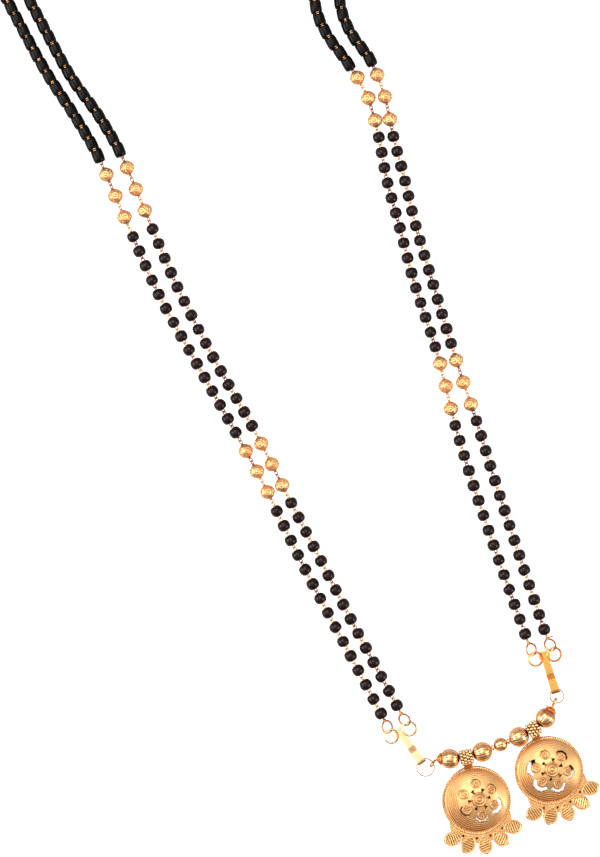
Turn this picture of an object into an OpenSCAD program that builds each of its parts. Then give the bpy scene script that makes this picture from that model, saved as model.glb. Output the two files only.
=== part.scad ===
// Mangalsutra: a double strand of black beads, closed by a short gold bar with two pierced discs.
// Laid flat, faces up. X runs along the bar, +Y toward the back of the neck, +Z up from the table.

/* [Black beads] */
// Width of a round black bead across its bore
black_d = 2.95; // [2.6:0.05:3.3]
// Length of a round black bead along its bore
black_len = 2.7; // [2.4:0.05:2.9]
// Round black beads in one run
black_count = 15; // [10:1:16]
// Gap between two round black beads, where the wire eyes meet
black_gap = 0.79; // [0.5:0.02:0.9]
// Width of a barrel bead of the upper strand
barrel_d = 2.7; // [2.4:0.05:3.0]
// Length of a barrel bead along its bore
barrel_len = 2.5; // [2.2:0.05:2.7]
// Gap between two barrel beads
barrel_gap = 0.4; // [0.25:0.05:0.6]
// Barrel beads that are drilled one by one at each end of a strand
barrel_count = 15; // [6:1:16]
// Width of the bore of every strung bead
bore_d = 0.8; // [0.65:0.05:0.95]

/* [Gold beads] */
// Width of a gold bead across its bore
gold_d = 3.3; // [2.8:0.05:3.5]
// Length of a gold bead along its bore
gold_len = 3.2; // [2.8:0.05:3.6]
// Gold beads in one group
gold_count = 3; // [2:1:3]
// Gap between two gold beads
gold_gap = 1.9; // [1.4:0.1:2.2]
// Gap between a gold bead and the black bead next to it
gold_black_gap = 1.25; // [0.9:0.05:1.6]
// Width of the raised dots round a gold bead
gold_dot_d = 0.55; // [0.4:0.05:0.7]

/* [Wire] */
// Thickness of the wire that carries the beads
thread_d = 0.24; // [0.2:0.02:0.36]
// Thickness of the wire of the end links and ears
link_wire = 0.3; // [0.24:0.02:0.36]
// Width across an end link, outside
link_d = 3.0; // [2.8:0.05:3.3]
// Roll of an end link about its strand, so that it passes through the ear, in degrees
link_roll = 35; // [31:1:38]
// Length of the wrapped collar behind an end link
collar_len = 0.35; // [0.25:0.05:0.6]
// Width of the wrapped collar
collar_d = 0.9; // [0.8:0.05:1.1]
// Width across a jump ring at the left end of the bar, outside
ring_left_d = 4.1; // [3.4:0.1:4.6]
// Width across a jump ring at the right end of the bar, outside
ring_right_d = 3.3; // [3.0:0.1:4.0]
// Thickness of the jump rings' wire
ring_wire = 0.25; // [0.2:0.02:0.3]

/* [Connectors] */
// Distance from the jump ring to the middle of the two ears
conn_len = 7.5; // [6.5:0.1:9.0]
// Width of the connector strip at the ears
conn_top_w = 1.5; // [1.2:0.1:1.8]
// Width of the connector strip at its fold
conn_low_w = 1.9; // [1.5:0.1:2.1]
// Thickness of the connector strip
conn_t = 0.3; // [0.25:0.02:0.4]
// Length of the folded tab
conn_tab = 1.9; // [1.5:0.1:2.5]
// Width across an ear ring, outside
ear_d = 3.3; // [2.8:0.1:3.6]

/* [Bar] */
// Width of a fluted bar ball
ball_d = 4.4; // [4.0:0.1:4.7]
// Flutes round a bar ball
ball_flutes = 14; // [10:1:16]
// Depth of the flutes
flute_depth = 0.09; // [0.04:0.01:0.16]
// Width of the small middle ball
small_ball_d = 3.1; // [2.7:0.1:3.5]
// Length of the spacer rings beside the middle ball
spacer_len = 0.45; // [0.4:0.05:0.6]
// Width of the spacer rings
spacer_d = 1.3; // [1.1:0.1:1.6]
// Width of the end caps
cap_d = 1.8; // [1.4:0.1:2.2]
// Length of the end caps
cap_len = 0.5; // [0.4:0.05:0.8]
// Thickness of the bar wire
bar_wire_d = 0.56; // [0.5:0.02:0.6]
// Width of the bore of the balls, spacers and caps
bar_bore = 0.9; // [0.85:0.05:1.0]
// Play between two neighbours on the bar wire
bar_play = 0.2; // [0.18:0.02:0.3]

/* [Pendants] */
// Width of a pendant disc
disc_d = 15.3; // [13.5:0.1:17.0]
// Height of the top of the dome above the table
dome_top = 3.3; // [2.6:0.1:4.0]
// Wall of the dome
dome_wall = 0.5; // [0.4:0.05:0.7]
// Thickness of the rope rim
rim_d = 0.8; // [0.6:0.05:1.0]
// Distance from the middle of the bail to the middle of the disc
drop = 9.95; // [9.6:0.05:10.2]
// Radius of the ring of petals
petal_place = 3.5; // [3.3:0.1:3.8]
// Width of a petal
petal_d = 1.9; // [1.5:0.1:2.0]
// Width of the crescent slot round a petal
slot_w = 0.7; // [0.4:0.05:0.8]
// Width of the raised middle boss
boss_d = 2.8; // [2.4:0.1:3.0]
// Length of a leaf
leaf_len = 4.2; // [3.6:0.1:4.6]
// Width of a leaf
leaf_w = 3.1; // [2.7:0.1:3.3]
// Width of the plate between the rim and the leaves
web_w = 2.1; // [1.8:0.1:2.4]
// Half the angle that this plate spans at the rim, in degrees
fan_half = 61; // [55:1:65]
// Thickness of a leaf at its rim
leaf_t = 0.9; // [0.7:0.05:1.2]
// Distance from the middle of the disc to the middle of a leaf
leaf_place = 9.85; // [9.5:0.05:10.3]
// Ribs across a leaf
leaf_ribs = 7; // [5:1:8]

/* [Bails] */
// Length of the bail tube
bail_len = 2.8; // [2.7:0.1:3.2]
// Width of the bail tube
bail_d = 2.6; // [2.4:0.05:2.9]
// Width of the bore of the bail tube
bail_bore = 1.8; // [1.7:0.05:1.9]
// How far a bail hangs below the bar wire, inside its wide bore
bail_sag = 0.42; // [0.3:0.02:0.46]
// Room between a bail and each ball beside it
bail_slack = 0.28; // [0.24:0.01:0.34]
// Width of a granule
grain_d = 0.62; // [0.5:0.02:0.7]
// Granules round the bail tube
grain_count = 13; // [10:1:14]
// Rows of granules along the bail tube
grain_rows = 5; // [4:1:5]

/* [Hidden] */
$fn = 40;
// Clear distance between two loose pieces
clear = 0.1;

// Routes of the strands, as they lie: from beyond the first beads to the edge of the neck.
OUTER_LEFT = [[-23.5, 33], [-25.3, 51], [-26.3, 65.3], [-27, 74.6], [-28.2, 84.7],
    [-30.4, 101.6], [-32.5, 118.8], [-33, 133], [-33.3, 144.6], [-33.5, 152.7], [-34.9, 162.3],
    [-37.2, 174.2], [-38.7, 187], [-40.2, 203]];
INNER_LEFT = [[-19.8, 34.1], [-21.4, 51.9], [-22.7, 66.1], [-23.5, 76], [-24.4, 85.5],
    [-26.6, 102.2], [-28.1, 119.3], [-28.4, 133.7], [-28.5, 143.3], [-28.7, 151.7], [-30.1, 161.1],
    [-32.5, 171], [-33.9, 182.8], [-35.7, 202]];
OUTER_RIGHT = [[19.5, 37.5], [20.7, 54.8], [21.8, 67.9], [22.3, 77.1], [23, 85.8],
    [24.2, 99], [25.5, 112.5], [27, 122.5], [28.3, 132.6], [29.8, 140.9], [29.9, 149.6],
    [28.4, 155.5], [28, 161.5], [30, 170], [34.5, 184], [38.8, 202]];
INNER_RIGHT = [[14.9, 38.4], [15.9, 55.3], [17.1, 68.7], [18.4, 77.6], [19.5, 86.5],
    [20.4, 100.3], [22.1, 113.7], [23.3, 123.8], [25.3, 133.9], [26.3, 142.5], [25, 151],
    [23.2, 158], [23, 164.5], [25.4, 174], [30, 187], [34.2, 203]];
// The hidden stretch behind the neck: the plain way round, the same on both sides.
BACK_OUTER = [[41, 222], [38.4, 245], [27.5, 264], [10, 274]];
BACK_INNER = [[36.3, 222], [34, 242.5], [24.3, 259.4], [8.6, 269]];
// The line of the bar wire, from cap to cap.
BAR = [[-14.6, 2.3], [-11.2, 0.8], [-7.5, 0], [-4.1, -0.35], [0, -0.2], [4.2, -0.3],
    [8, 0.1], [11.2, 1.05], [13.6, 2.9]];

// One row for each strand end: its name, how far the gaps of run 1, of run 2 and beside the gold beads
// are pulled out, bare wire before the first bead, and angle round the ear where the end link hangs.
ENDS = [
    ["outer_left", 0.08, -0.02, 0.45, 0.08, 91],
    ["inner_left", 0.09, -0.03, 0.2, 0.45, 96],
    ["inner_right", -0.04, -0.08, -0.4, 0.6, 92],
    ["outer_right", -0.05, -0.12, -0.35, 0.5, 91]];
PULL_GOLD = 3;
BARE = 4;
HOOK = 5;
// One row for each end of the bar: its name, the way that the wire eye, the ring and the connector
// turn off, and how much further the outer ear sits up the strip.
SIDES = [
    ["left", 212, 188, 104, 0.5],
    ["right", 45, 47, 85, -0.1]];
EYE_TURN = 1;
RING_TURN = 2;
STRIP_TURN = 3;
EAR_STEP = 4;

// Heights of the lying pieces above the table.
link_r = (link_d - link_wire) / 2;
link_mid = link_r - 2 * link_wire;
collar_end = link_mid + link_r + link_wire / 2 + collar_len;
ear_z = link_r * sin(link_roll) + link_wire / 2 + clear / 4;
fold_r = ring_wire / 2 + 1.8 * clear;
ring_z = ear_z + conn_t / 2 + fold_r;
bar_z = ball_d / 2;
eye_r = (bar_z - ring_z) / 2 + ring_wire + clear + bar_wire_d / 4;
eye_wire = bar_wire_d / 2;

// Point on a smooth curve between p1 and p2, with p0 and p3 as the neighbours.
function between(p0, p1, p2, p3, t) =
    0.5 * (2 * p1 + (p2 - p0) * t + (2 * p0 - 5 * p1 + 4 * p2 - p3) * t * t
    + (3 * p1 - p0 - 3 * p2 + p3) * t * t * t);
// A smooth line through chosen points, with steps points for each stretch.
function smooth(pts, steps = 6) = [
    for (i = [0:len(pts) - 2]) for (j = [0:steps - 1])
        between(pts[max(i - 1, 0)], pts[i], pts[i + 1], pts[min(i + 2, len(pts) - 1)], j / steps),
    pts[len(pts) - 1]];
// Length of a line up to each of its points.
function lengths(pts, i = 0, total = 0) =
    i == len(pts) - 1 ? [total]
    : concat([total], lengths(pts, i + 1, total + norm(pts[i + 1] - pts[i])));
// A line with its lengths, ready to be looked up.
function track(pts) =
    let (line = smooth(pts), run = lengths(line))
    [[for (i = [0:len(line) - 1]) [run[i], line[i].x]],
     [for (i = [0:len(line) - 1]) [run[i], line[i].y]],
     run[len(run) - 1]];
// Point at a distance along a track, and its direction in degrees.
function spot(t, s) = [lookup(s, t[0]), lookup(s, t[1])];
function heading(t, s) = let (d = spot(t, s + 0.4) - spot(t, s - 0.4)) atan2(d.y, d.x);
function aim(angle) = [cos(angle), sin(angle)];
function reversed(pts) = [for (i = [len(pts) - 1:-1:0]) pts[i]];
function mirrored(pts) = [for (p = pts) [-p.x, p.y]];
// How deep a ring of radius r sits over a ball of radius big.
function seat(big, r) = big - sqrt(big * big - r * r);

// The bar: its wire runs straight through each piece and bends only between two of them.
// One row for each piece from the middle ball outward (spacer, inner ball, bail, outer ball, cap):
// its reach toward the middle, and away from it.
ball_r = ball_d / 2;
BAR_PIECES = [
    [spacer_len / 2, spacer_len / 2],
    [ball_r - seat(ball_r, spacer_d / 2), ball_r - seat(ball_r, bail_d / 2)],
    [bail_len / 2 + bail_slack, bail_len / 2 + bail_slack],
    [ball_r - seat(ball_r, bail_d / 2), ball_r - seat(ball_r, cap_d / 2)],
    [cap_len / 2 + clear, cap_len / 2]];
SPACER = 0;
INNER_BALL = 1;
OUTER_BALL = 3;
CAP = 4;
bar_track = track(BAR);
bar_middle = bar_track[2] * 0.512;
function side_sign(k) = k == 0 ? -1 : 1;
// Distance from the middle to the bend before a piece, the bend itself, and the piece's line and middle.
function bend_s(n) =
    n == 0 ? small_ball_d / 2 - seat(small_ball_d / 2, spacer_d / 2) + bar_play / 2
    : bend_s(n - 1) + BAR_PIECES[n - 1][0] + BAR_PIECES[n - 1][1] + bar_play;
function bend(k, n) = spot(bar_track, bar_middle + side_sign(k) * bend_s(n));
function bar_turn(k, n) = let (d = side_sign(k) * (bend(k, n + 1) - bend(k, n))) atan2(d.y, d.x);
function bar_place(k, n) =
    bend(k, n) + side_sign(k) * (bar_play / 2 + BAR_PIECES[n][0]) * aim(bar_turn(k, n));
// A bail hangs between its two balls, square to the line of their middles.
function bail_turn(k) =
    let (d = side_sign(k) * (bar_place(k, OUTER_BALL) - bar_place(k, INNER_BALL))) atan2(d.y, d.x);
function bail_place(k) =
    (bar_place(k, OUTER_BALL) + bar_place(k, INNER_BALL)) / 2 + bail_sag * aim(bail_turn(k) - 90);
eye_reach = eye_r + ring_wire + clear;

// Rings and connectors follow the ends of the bar wire.
function eye_at(k) = bend(k, CAP + 1) + eye_reach * aim(SIDES[k][EYE_TURN]);
function ring_r(k) = ((k == 0 ? ring_left_d : ring_right_d) - ring_wire) / 2;
function ring_at(k) = eye_at(k) + ring_r(k) * aim(SIDES[k][RING_TURN]);
function fold_at(k) = ring_at(k) + ring_r(k) * aim(SIDES[k][STRIP_TURN]);
ear_r = (ear_d - link_wire) / 2;
ear_side = conn_top_w / 2 + ear_r - link_wire / 2;
function ear_at(k, side) =
    fold_at(k) + (conn_len + side_sign(k) * side * SIDES[k][EAR_STEP]) * aim(SIDES[k][STRIP_TURN])
    + side * ear_side * aim(SIDES[k][STRIP_TURN] - 90);

// Strands: 0 outer left, 1 inner left, 2 inner right, 3 outer right.
function hook_at(e) =
    ear_at(e < 2 ? 0 : 1, e == 0 || e == 2 ? -1 : 1) + ear_r * aim(ENDS[e][HOOK]);
function collar_at(e) = hook_at(e) + collar_end * aim(ENDS[e][HOOK]);
outer_route = concat([hook_at(0), collar_at(0)], OUTER_LEFT, mirrored(BACK_OUTER),
    reversed(BACK_OUTER), reversed(OUTER_RIGHT), [collar_at(3), hook_at(3)]);
inner_route = concat([hook_at(1), collar_at(1)], INNER_LEFT, mirrored(BACK_INNER),
    reversed(BACK_INNER), reversed(INNER_RIGHT), [collar_at(2), hook_at(2)]);
outer_track = track(outer_route);
inner_track = track(inner_route);
function strand_track(e) = e == 0 || e == 3 ? outer_track : inner_track;
function strand_s(e, s) = e < 2 ? s : strand_track(e)[2] - s;
function strand_spot(e, s) = spot(strand_track(e), strand_s(e, s));
function strand_turn(e, s) = heading(strand_track(e), strand_s(e, s));

// Distances along a strand from the ear: link, first run, gold, second run, gold, barrels.
function first_s(e) = collar_end + ENDS[e][BARE] + clear + black_len / 2;
function rise(e) = atan2(black_d / 2 - ear_z, first_s(e));
function pitch(e, run) = black_len + black_gap + ENDS[e][1 + run];
gold_pitch = gold_len + gold_gap;
function run_s(e, run) =
    run == 0 ? first_s(e) : gold_s(e, 0) + (gold_count - 1) * gold_pitch
    + gold_len / 2 + beside_gold(e) + black_len / 2;
function beside_gold(e) = gold_black_gap + ENDS[e][PULL_GOLD];
function gold_s(e, run) =
    run_s(e, run) + (black_count - 1) * pitch(e, run) + black_len / 2 + beside_gold(e) + gold_len / 2;
function black_s(e, n) =
    run_s(e, floor(n / black_count)) + (n % black_count) * pitch(e, floor(n / black_count));
barrel_pitch = barrel_len + barrel_gap;
function barrel_s(e, n) =
    gold_s(e, 1) + (gold_count - 1) * gold_pitch + gold_len / 2 + beside_gold(e)
    + barrel_len / 2 + n * barrel_pitch;
function back_s(e) = barrel_s(e, barrel_count - 1) + barrel_len / 2 + barrel_gap;

// The middle of the whole jewel, which stands over the origin.
leaf_far = leaf_place + leaf_len / 2;
low_y = bail_place(0).y - drop - leaf_far;
high_y = max([for (p = smooth(outer_route)) p.y]) + barrel_d / 2;
mid_y = (low_y + high_y) / 2;

// Dome of a pendant.
dome_r = disc_d / 2 - rim_d / 2;
dome_h = dome_top - rim_d / 2;
dome_ball = (dome_r * dome_r + dome_h * dome_h) / (2 * dome_h);
dome_mid = dome_top - dome_ball;
function dome_z(r) = dome_mid + sqrt(dome_ball * dome_ball - r * r);
groove_pitch = 0.35;
groove_ridge = 0.24;
relief = 0.25;

// One side of the leaf plate's outline: from the rope out to the leaves, way -1 left or 1 right.
function plate_side(way) = [
    (dome_r + rim_d / 2) * aim(way * fan_half - 90),
    (dome_r + web_w) * aim(way * fan_half * 0.76 - 90),
    leaf_far * aim(way * fan_half / 2 - 90)];

module placed() {
    translate([0, -mid_y, 0]) children();
}

module lay(p, z, turn) {
    translate([p.x, p.y, z]) rotate([0, 0, turn]) children();
}

// Half outline of a bead with its bore along Y: length, width, corner radius and bore.
module bead_outline(length, width, corner, bore) {
    difference() {
        union() {
            for (end = [-1, 1]) {
                translate([width / 2 - corner, end * (length / 2 - corner)]) circle(corner);
            }
            translate([0, corner - length / 2]) square([width / 2, length - 2 * corner]);
            translate([0, -length / 2]) square([width / 2 - corner, length]);
        }
        translate([-width, -length]) square([width + bore / 2, 2 * length]);
    }
}

// A turned bead with its bore along X.
module turned(length, width, corner, bore) {
    rotate([0, 90, 0]) rotate_extrude() bead_outline(length, width, corner, bore);
}

// One tube along a line: rings of sides points, each square to the line.
function ring_points(line, flat, r, sides) = [
    for (i = [0:len(line) - 1])
        let (a = line[max(i - 1, 0)], b = line[min(i + 1, len(line) - 1)])
        let (along = (b - a) / norm(b - a), across = flat[i], up = cross(across, along))
        for (j = [0:sides - 1])
            line[i] + r * (cos(360 * j / sides) * across + sin(360 * j / sides) * up)];
function tube_faces(rings, sides) = concat(
    [[for (j = [0:sides - 1]) sides - 1 - j]],
    [for (i = [0:rings - 2]) for (j = [0:sides - 1])
        let (a = i * sides + j, b = i * sides + (j + 1) % sides)
        [a, b, b + sides, a + sides]],
    [[for (j = [0:sides - 1]) (rings - 1) * sides + j]]);
module tube(line, flat, r, sides) {
    polyhedron(ring_points(line, flat, r, sides), tube_faces(len(line), sides), convexity = 10);
}
function level(line) = [
    for (i = [0:len(line) - 1])
        let (d = line[min(i + 1, len(line) - 1)] - line[max(i - 1, 0)])
        [d.y, -d.x, 0] / norm([d.x, d.y])];

module black_string(e) {
    color("#14100f") placed() for (n = [0:2 * black_count - 1]) {
        lay(strand_spot(e, black_s(e, n)), black_d / 2, strand_turn(e, black_s(e, n)))
            turned(black_len, black_d, black_len * 0.47, bore_d);
    }
}

module barrel_string(e) {
    color("#0e0e10") placed() for (n = [0:barrel_count - 1]) {
        lay(strand_spot(e, barrel_s(e, n)), barrel_d / 2, strand_turn(e, barrel_s(e, n)))
            turned(barrel_len, barrel_d, barrel_len * 0.2, bore_d);
    }
}

module gold_bead(e, group, n) {
    s = gold_s(e, group) + n * gold_pitch;
    color("#e8a84c") placed() lay(strand_spot(e, s), gold_d / 2, strand_turn(e, s)) {
        turned(gold_len, gold_d - gold_dot_d / 4, gold_len * 0.46, bore_d);
        for (k = [0:5]) rotate([60 * k, 0, 0])
            translate([0, 0, gold_d / 2 - gold_dot_d * 0.5]) sphere(gold_dot_d / 2);
    }
}

// The wire through one strand end, from its collar to the last drilled bead.
module strand_wire(e) {
    line = concat(
        [for (s = [collar_end - collar_len + clear, collar_end])
            concat(hook_at(e) + s * aim(ENDS[e][HOOK]), ear_z + s * tan(rise(e)))],
        [for (n = [0:black_count - 1]) concat(strand_spot(e, black_s(e, n)), black_d / 2)],
        [for (n = [0:gold_count - 1])
            concat(strand_spot(e, gold_s(e, 0) + n * gold_pitch), gold_d / 2)],
        [for (n = [black_count:2 * black_count - 1])
            concat(strand_spot(e, black_s(e, n)), black_d / 2)],
        [for (n = [0:gold_count - 1])
            concat(strand_spot(e, gold_s(e, 1) + n * gold_pitch), gold_d / 2)],
        [for (n = [0:barrel_count - 1]) concat(strand_spot(e, barrel_s(e, n)), barrel_d / 2)],
        [concat(strand_spot(e, back_s(e) - clear), barrel_d / 2)]);
    color("#c98a3a") placed() tube(line, level(line), thread_d / 2, 6);
}

// The hidden stretch of a strand, a close row of barrel beads round the back of the neck.
module back_strand(t, e_left, e_right) {
    from = back_s(e_left);
    to = t[2] - back_s(e_right);
    count = ceil((to - from) / (2.5 * barrel_d));
    line = [for (i = [0:count]) concat(spot(t, from + (to - from) * i / count), barrel_d / 2)];
    color("#0e0e10") placed() tube(line, level(line), barrel_d / 2, 8);
}

// A round link that hangs in an ear, rolled so that one side passes over the ear and one under it,
// with the wrapped collar that takes the strand's wire.
module end_link(e) {
    roll = link_roll * (e % 2 == 0 ? 1 : -1);
    color("#d9933f") placed() lay(hook_at(e), ear_z, ENDS[e][HOOK]) rotate([0, -rise(e), 0]) {
        translate([link_mid, 0, 0]) rotate([roll, 0, 0])
            rotate_extrude() translate([link_r, 0]) circle(link_wire / 2, $fn = 24);
        translate([link_mid + link_r, 0, 0]) rotate([0, 90, 0]) difference() {
            cylinder(h = collar_len + link_wire / 2, d = collar_d);
            translate([0, 0, link_wire / 2]) cylinder(h = collar_len + clear, d = thread_d + 2 * clear);
        }
    }
}

module connector(k) {
    slack = ring_r(k) - sqrt(pow(ring_r(k), 2) - pow(conn_low_w / 2, 2));
    top = conn_len + ear_r * 0.8;
    color("#e3a24a") placed() {
        lay(fold_at(k), 0, SIDES[k][STRIP_TURN] - 90) {
            translate([0, 0, ear_z - conn_t / 2]) linear_extrude(conn_t)
                polygon([[-conn_low_w / 2, -slack], [conn_low_w / 2, -slack],
                    [conn_top_w / 2, top], [-conn_top_w / 2, top]]);
            translate([0, -slack, ring_z]) rotate([90, 0, 90]) translate([0, 0, -conn_low_w / 2])
                linear_extrude(conn_low_w) difference() {
                    circle(fold_r + conn_t);
                    circle(fold_r);
                    translate([0, -2]) square([2, 4]);
                }
            translate([-conn_low_w / 2, -slack, ring_z + fold_r])
                cube([conn_low_w, conn_tab + slack, conn_t]);
        }
        for (side = [-1, 1]) lay(ear_at(k, side), ear_z + link_wire * 0.2, 0)
            rotate_extrude() translate([ear_r, 0]) circle(link_wire / 2, $fn = 24);
    }
}

module jump_ring(k) {
    color("#d8b98a") placed() lay(ring_at(k), ring_z, 0)
        rotate_extrude($fn = 64) translate([ring_r(k), 0]) circle(ring_wire / 2, $fn = 24);
}

// A ball with flutes from bore to bore, laid out as rings of points round the bar's line.
module fluted_ball(d, flutes, depth) {
    round_steps = 2 * flutes;
    rings = 11;
    from = asin(bar_bore / d);
    points = [
        for (i = [0:rings - 1]) let (a = from + (180 - 2 * from) * i / (rings - 1))
            for (j = [0:round_steps - 1])
                let (r = d / 2 - (j % 2) * depth * pow(sin(a), 2))
                [r * cos(a), r * sin(a) * cos(360 * j / round_steps),
                 r * sin(a) * sin(360 * j / round_steps)]];
    skin = [for (i = [0:rings - 2]) for (j = [0:round_steps - 1])
        let (a = i * round_steps + j, b = i * round_steps + (j + 1) % round_steps)
        [a, b, b + round_steps, a + round_steps]];
    last = (rings - 1) * round_steps;
    bore = [for (j = [0:round_steps - 1])
        let (k = (j + 1) % round_steps) [j, last + j, last + k, k]];
    polyhedron(points, concat(skin, bore), convexity = 4);
}

// Places a piece of the bar: side 0 left or 1 right, and its row in BAR_PIECES.
module on_bar(k, n) {
    placed() lay(bar_place(k, n), bar_z, bar_turn(k, n)) children();
}

module bar_ball(k, n) {
    color("#eab45c") on_bar(k, n) fluted_ball(ball_d, ball_flutes, flute_depth);
}

module bar_small_ball() {
    d = bend(1, 0) - bend(0, 0);
    color("#eab45c") placed() lay((bend(0, 0) + bend(1, 0)) / 2, bar_z, atan2(d.y, d.x))
        fluted_ball(small_ball_d, 6, flute_depth * 2);
}

module bar_spacer(k) {
    color("#d9953c") on_bar(k, SPACER) turned(spacer_len, spacer_d, spacer_len * 0.3, bar_bore);
}

module bar_cap(k) {
    color("#c8702c") on_bar(k, CAP) turned(cap_len, cap_d, cap_len * 0.3, bar_bore);
}

// The bar wire: a rod through every piece, closed by a standing eye at each end.
module bar_wire() {
    eye_steps = 11;
    function eye_point(k, i) =
        let (turn = 125 - 300 * i / eye_steps)
        concat(eye_at(k) + eye_r * cos(turn - 35) * aim(SIDES[k][EYE_TURN]),
            bar_z - eye_r + eye_r * sin(turn - 35));
    function eye(k) = [for (i = [0:eye_steps]) eye_point(k, i)];
    function eye_flat(k, way) = [for (i = [0:eye_steps])
        way * [aim(SIDES[k][EYE_TURN]).y, -aim(SIDES[k][EYE_TURN]).x, 0]];
    rod = [for (k = [0, 1]) for (i = [0:CAP + 1])
        concat(bend(k, k == 0 ? CAP + 1 - i : i), bar_z)];
    line = concat(reversed(eye(0)), rod, eye(1));
    flat = concat(eye_flat(0, -1), level(rod), eye_flat(1, 1));
    color("#d9953c") placed() tube(line, flat, eye_wire, 8);
}

// Outline of a leaf, tip at the origin, round end along +X, drawn in by inset.
module leaf_outline(inset) {
    r = leaf_w / 2 - inset;
    reach = leaf_len - leaf_w / 2;
    half = asin(leaf_w / 2 / reach);
    translate([reach, 0]) circle(r);
    start = inset / sin(half);
    polygon([[start, 0], [reach - r * sin(half), -r * cos(half)], [reach, 0],
        [reach - r * sin(half), r * cos(half)]]);
}

module leaf() {
    rib_pitch = (leaf_len - 0.9) / leaf_ribs;
    linear_extrude(leaf_t * 0.55) leaf_outline(0);
    linear_extrude(leaf_t) difference() {
        leaf_outline(0);
        leaf_outline(leaf_w * 0.11);
    }
    linear_extrude(leaf_t * 0.8) intersection() {
        leaf_outline(leaf_w * 0.05);
        union() for (i = [0:leaf_ribs - 1])
            translate([0.75 + i * rib_pitch, -leaf_w / 2]) square([rib_pitch * 0.5, leaf_w]);
    }
}

// Grains in rings round a tube along X.
module grains() {
    row_pitch = (bail_len - grain_d) / (grain_rows - 1);
    for (row = [0:grain_rows - 1]) for (i = [0:grain_count - 1])
        rotate([360 * (i + (row % 2) / 2) / grain_count, 0, 0])
            translate([(row - (grain_rows - 1) / 2) * row_pitch, 0, bail_d / 2 + grain_d * 0.2])
                sphere(grain_d / 2, $fn = 16);
}

module on_dome(place, angle) {
    rotate([0, 0, angle]) translate([place, 0, dome_z(place)])
        rotate([0, asin(place / dome_ball), 0]) children();
}

module petal_slot() {
    linear_extrude(6, center = true) intersection() {
        difference() {
            circle(petal_d / 2 + slot_w);
            translate([-slot_w / 3, 0]) circle(petal_d / 2 + slot_w / 3 + relief / 3);
        }
        polygon([[-0.1, 0], [0.6, -3], [4, -3], [4, 3], [0.6, 3]]);
    }
}

module petal() {
    rotate_extrude() difference() {
        union() {
            translate([0, -dome_wall * 0.6]) square([petal_d / 2, dome_wall * 0.6 + relief * 0.4]);
            translate([petal_d / 2 - relief / 2, relief * 0.4]) circle(relief / 2);
            translate([petal_d * 0.24, relief * 0.4]) circle(relief / 2);
            translate([0, relief * 0.2]) circle(relief * 0.9);
        }
        translate([-petal_d, -petal_d]) square([petal_d, 2 * petal_d]);
    }
}

module dome_shell() {
    rotate_extrude($fn = 96) difference() {
        union() {
            difference() {
                translate([0, dome_mid]) circle(dome_ball, $fn = 96);
                translate([0, dome_mid]) circle(dome_ball - dome_wall, $fn = 96);
                translate([-50, -100]) square([100, 100 + rim_d / 2]);
                translate([-50, -50]) square([50, 100]);
            }
            translate([dome_r, rim_d / 2]) circle(rim_d / 2, $fn = 24);
            for (i = [0:4]) translate([dome_r - 0.55 - i * groove_pitch,
                dome_z(dome_r - 0.55 - i * groove_pitch)]) circle(groove_ridge / 2, $fn = 16);
        }
        translate([-100, -50]) square([100, 100]);
    }
}

// A pierced disc with its fan of leaves, hanging from the middle of its bail, faces up.
module disc_body() {
    difference() {
        union() {
            dome_shell();
            linear_extrude(rim_d * 0.6) difference() {
                intersection() {
                    circle(dome_r + web_w);
                    polygon(concat([[0, 0]], plate_side(-1), reversed(plate_side(1))));
                }
                circle(dome_r);
            }
        }
        for (k = [0:5]) on_dome(petal_place, 30 + 60 * k) petal_slot();
        for (k = [0:5]) on_dome(petal_place * 0.6, 60 * k)
            linear_extrude(6, center = true) polygon([[-0.55, 0], [0.35, -0.42], [0.35, 0.42]]);
        for (k = [-1.5:1:1.5]) rotate([0, 0, 21 * k - 90]) translate([dome_r + 0.85, 0, -1])
            cylinder(h = 3, d = 0.4, $fn = 16);
    }
    for (k = [0:5]) on_dome(petal_place, 30 + 60 * k) petal();
    translate([0, 0, dome_z(0)]) rotate_extrude() difference() {
        union() {
            translate([0, -dome_wall * 0.6]) square([boss_d / 2, dome_wall * 0.6 + relief * 0.4]);
            for (r = [boss_d / 2 - relief / 2, boss_d / 4]) translate([r, relief * 0.4]) circle(relief / 2);
            translate([0, relief * 0.2]) circle(relief * 1.2);
        }
        translate([-boss_d, -boss_d]) square([boss_d, 2 * boss_d]);
    }
    for (k = [-2:2]) rotate([0, 0, 21 * k - 90]) translate([leaf_place, 0, 0])
        rotate([0, 0, 24 * k]) translate([-leaf_len / 2, 0, 0]) leaf();
}

// A pendant leans to one side of its bail, and its disc is soldered on with a small turn of its own.
module pendant(k, lean, turn) {
    color("#e2a24c") placed() lay(bail_place(k), bar_z, bail_turn(k)) {
        difference() {
            union() {
                rotate([0, 90, 0]) cylinder(h = bail_len, d = bail_d, center = true);
                grains();
                rotate([0, 0, lean]) translate([-0.8, disc_d / 2 - drop - 0.3, rim_d * 0.3 - bar_z])
                    cube([1.6, drop - disc_d / 2 + 0.3, bar_z - rim_d * 0.6]);
            }
            rotate([0, 90, 0]) cylinder(h = bail_len * 2, d = bail_bore, center = true);
        }
        rotate([0, 0, lean]) translate([0, -drop, -bar_z]) rotate([0, 0, turn]) disc_body();
    }
}

GOLD_NODES = [for (e = [0:3]) for (group = [0, 1]) for (n = [0:gold_count - 1])
    str("gold_bead_", ENDS[e][0], "_", 1 + group * gold_count + n)];

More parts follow.
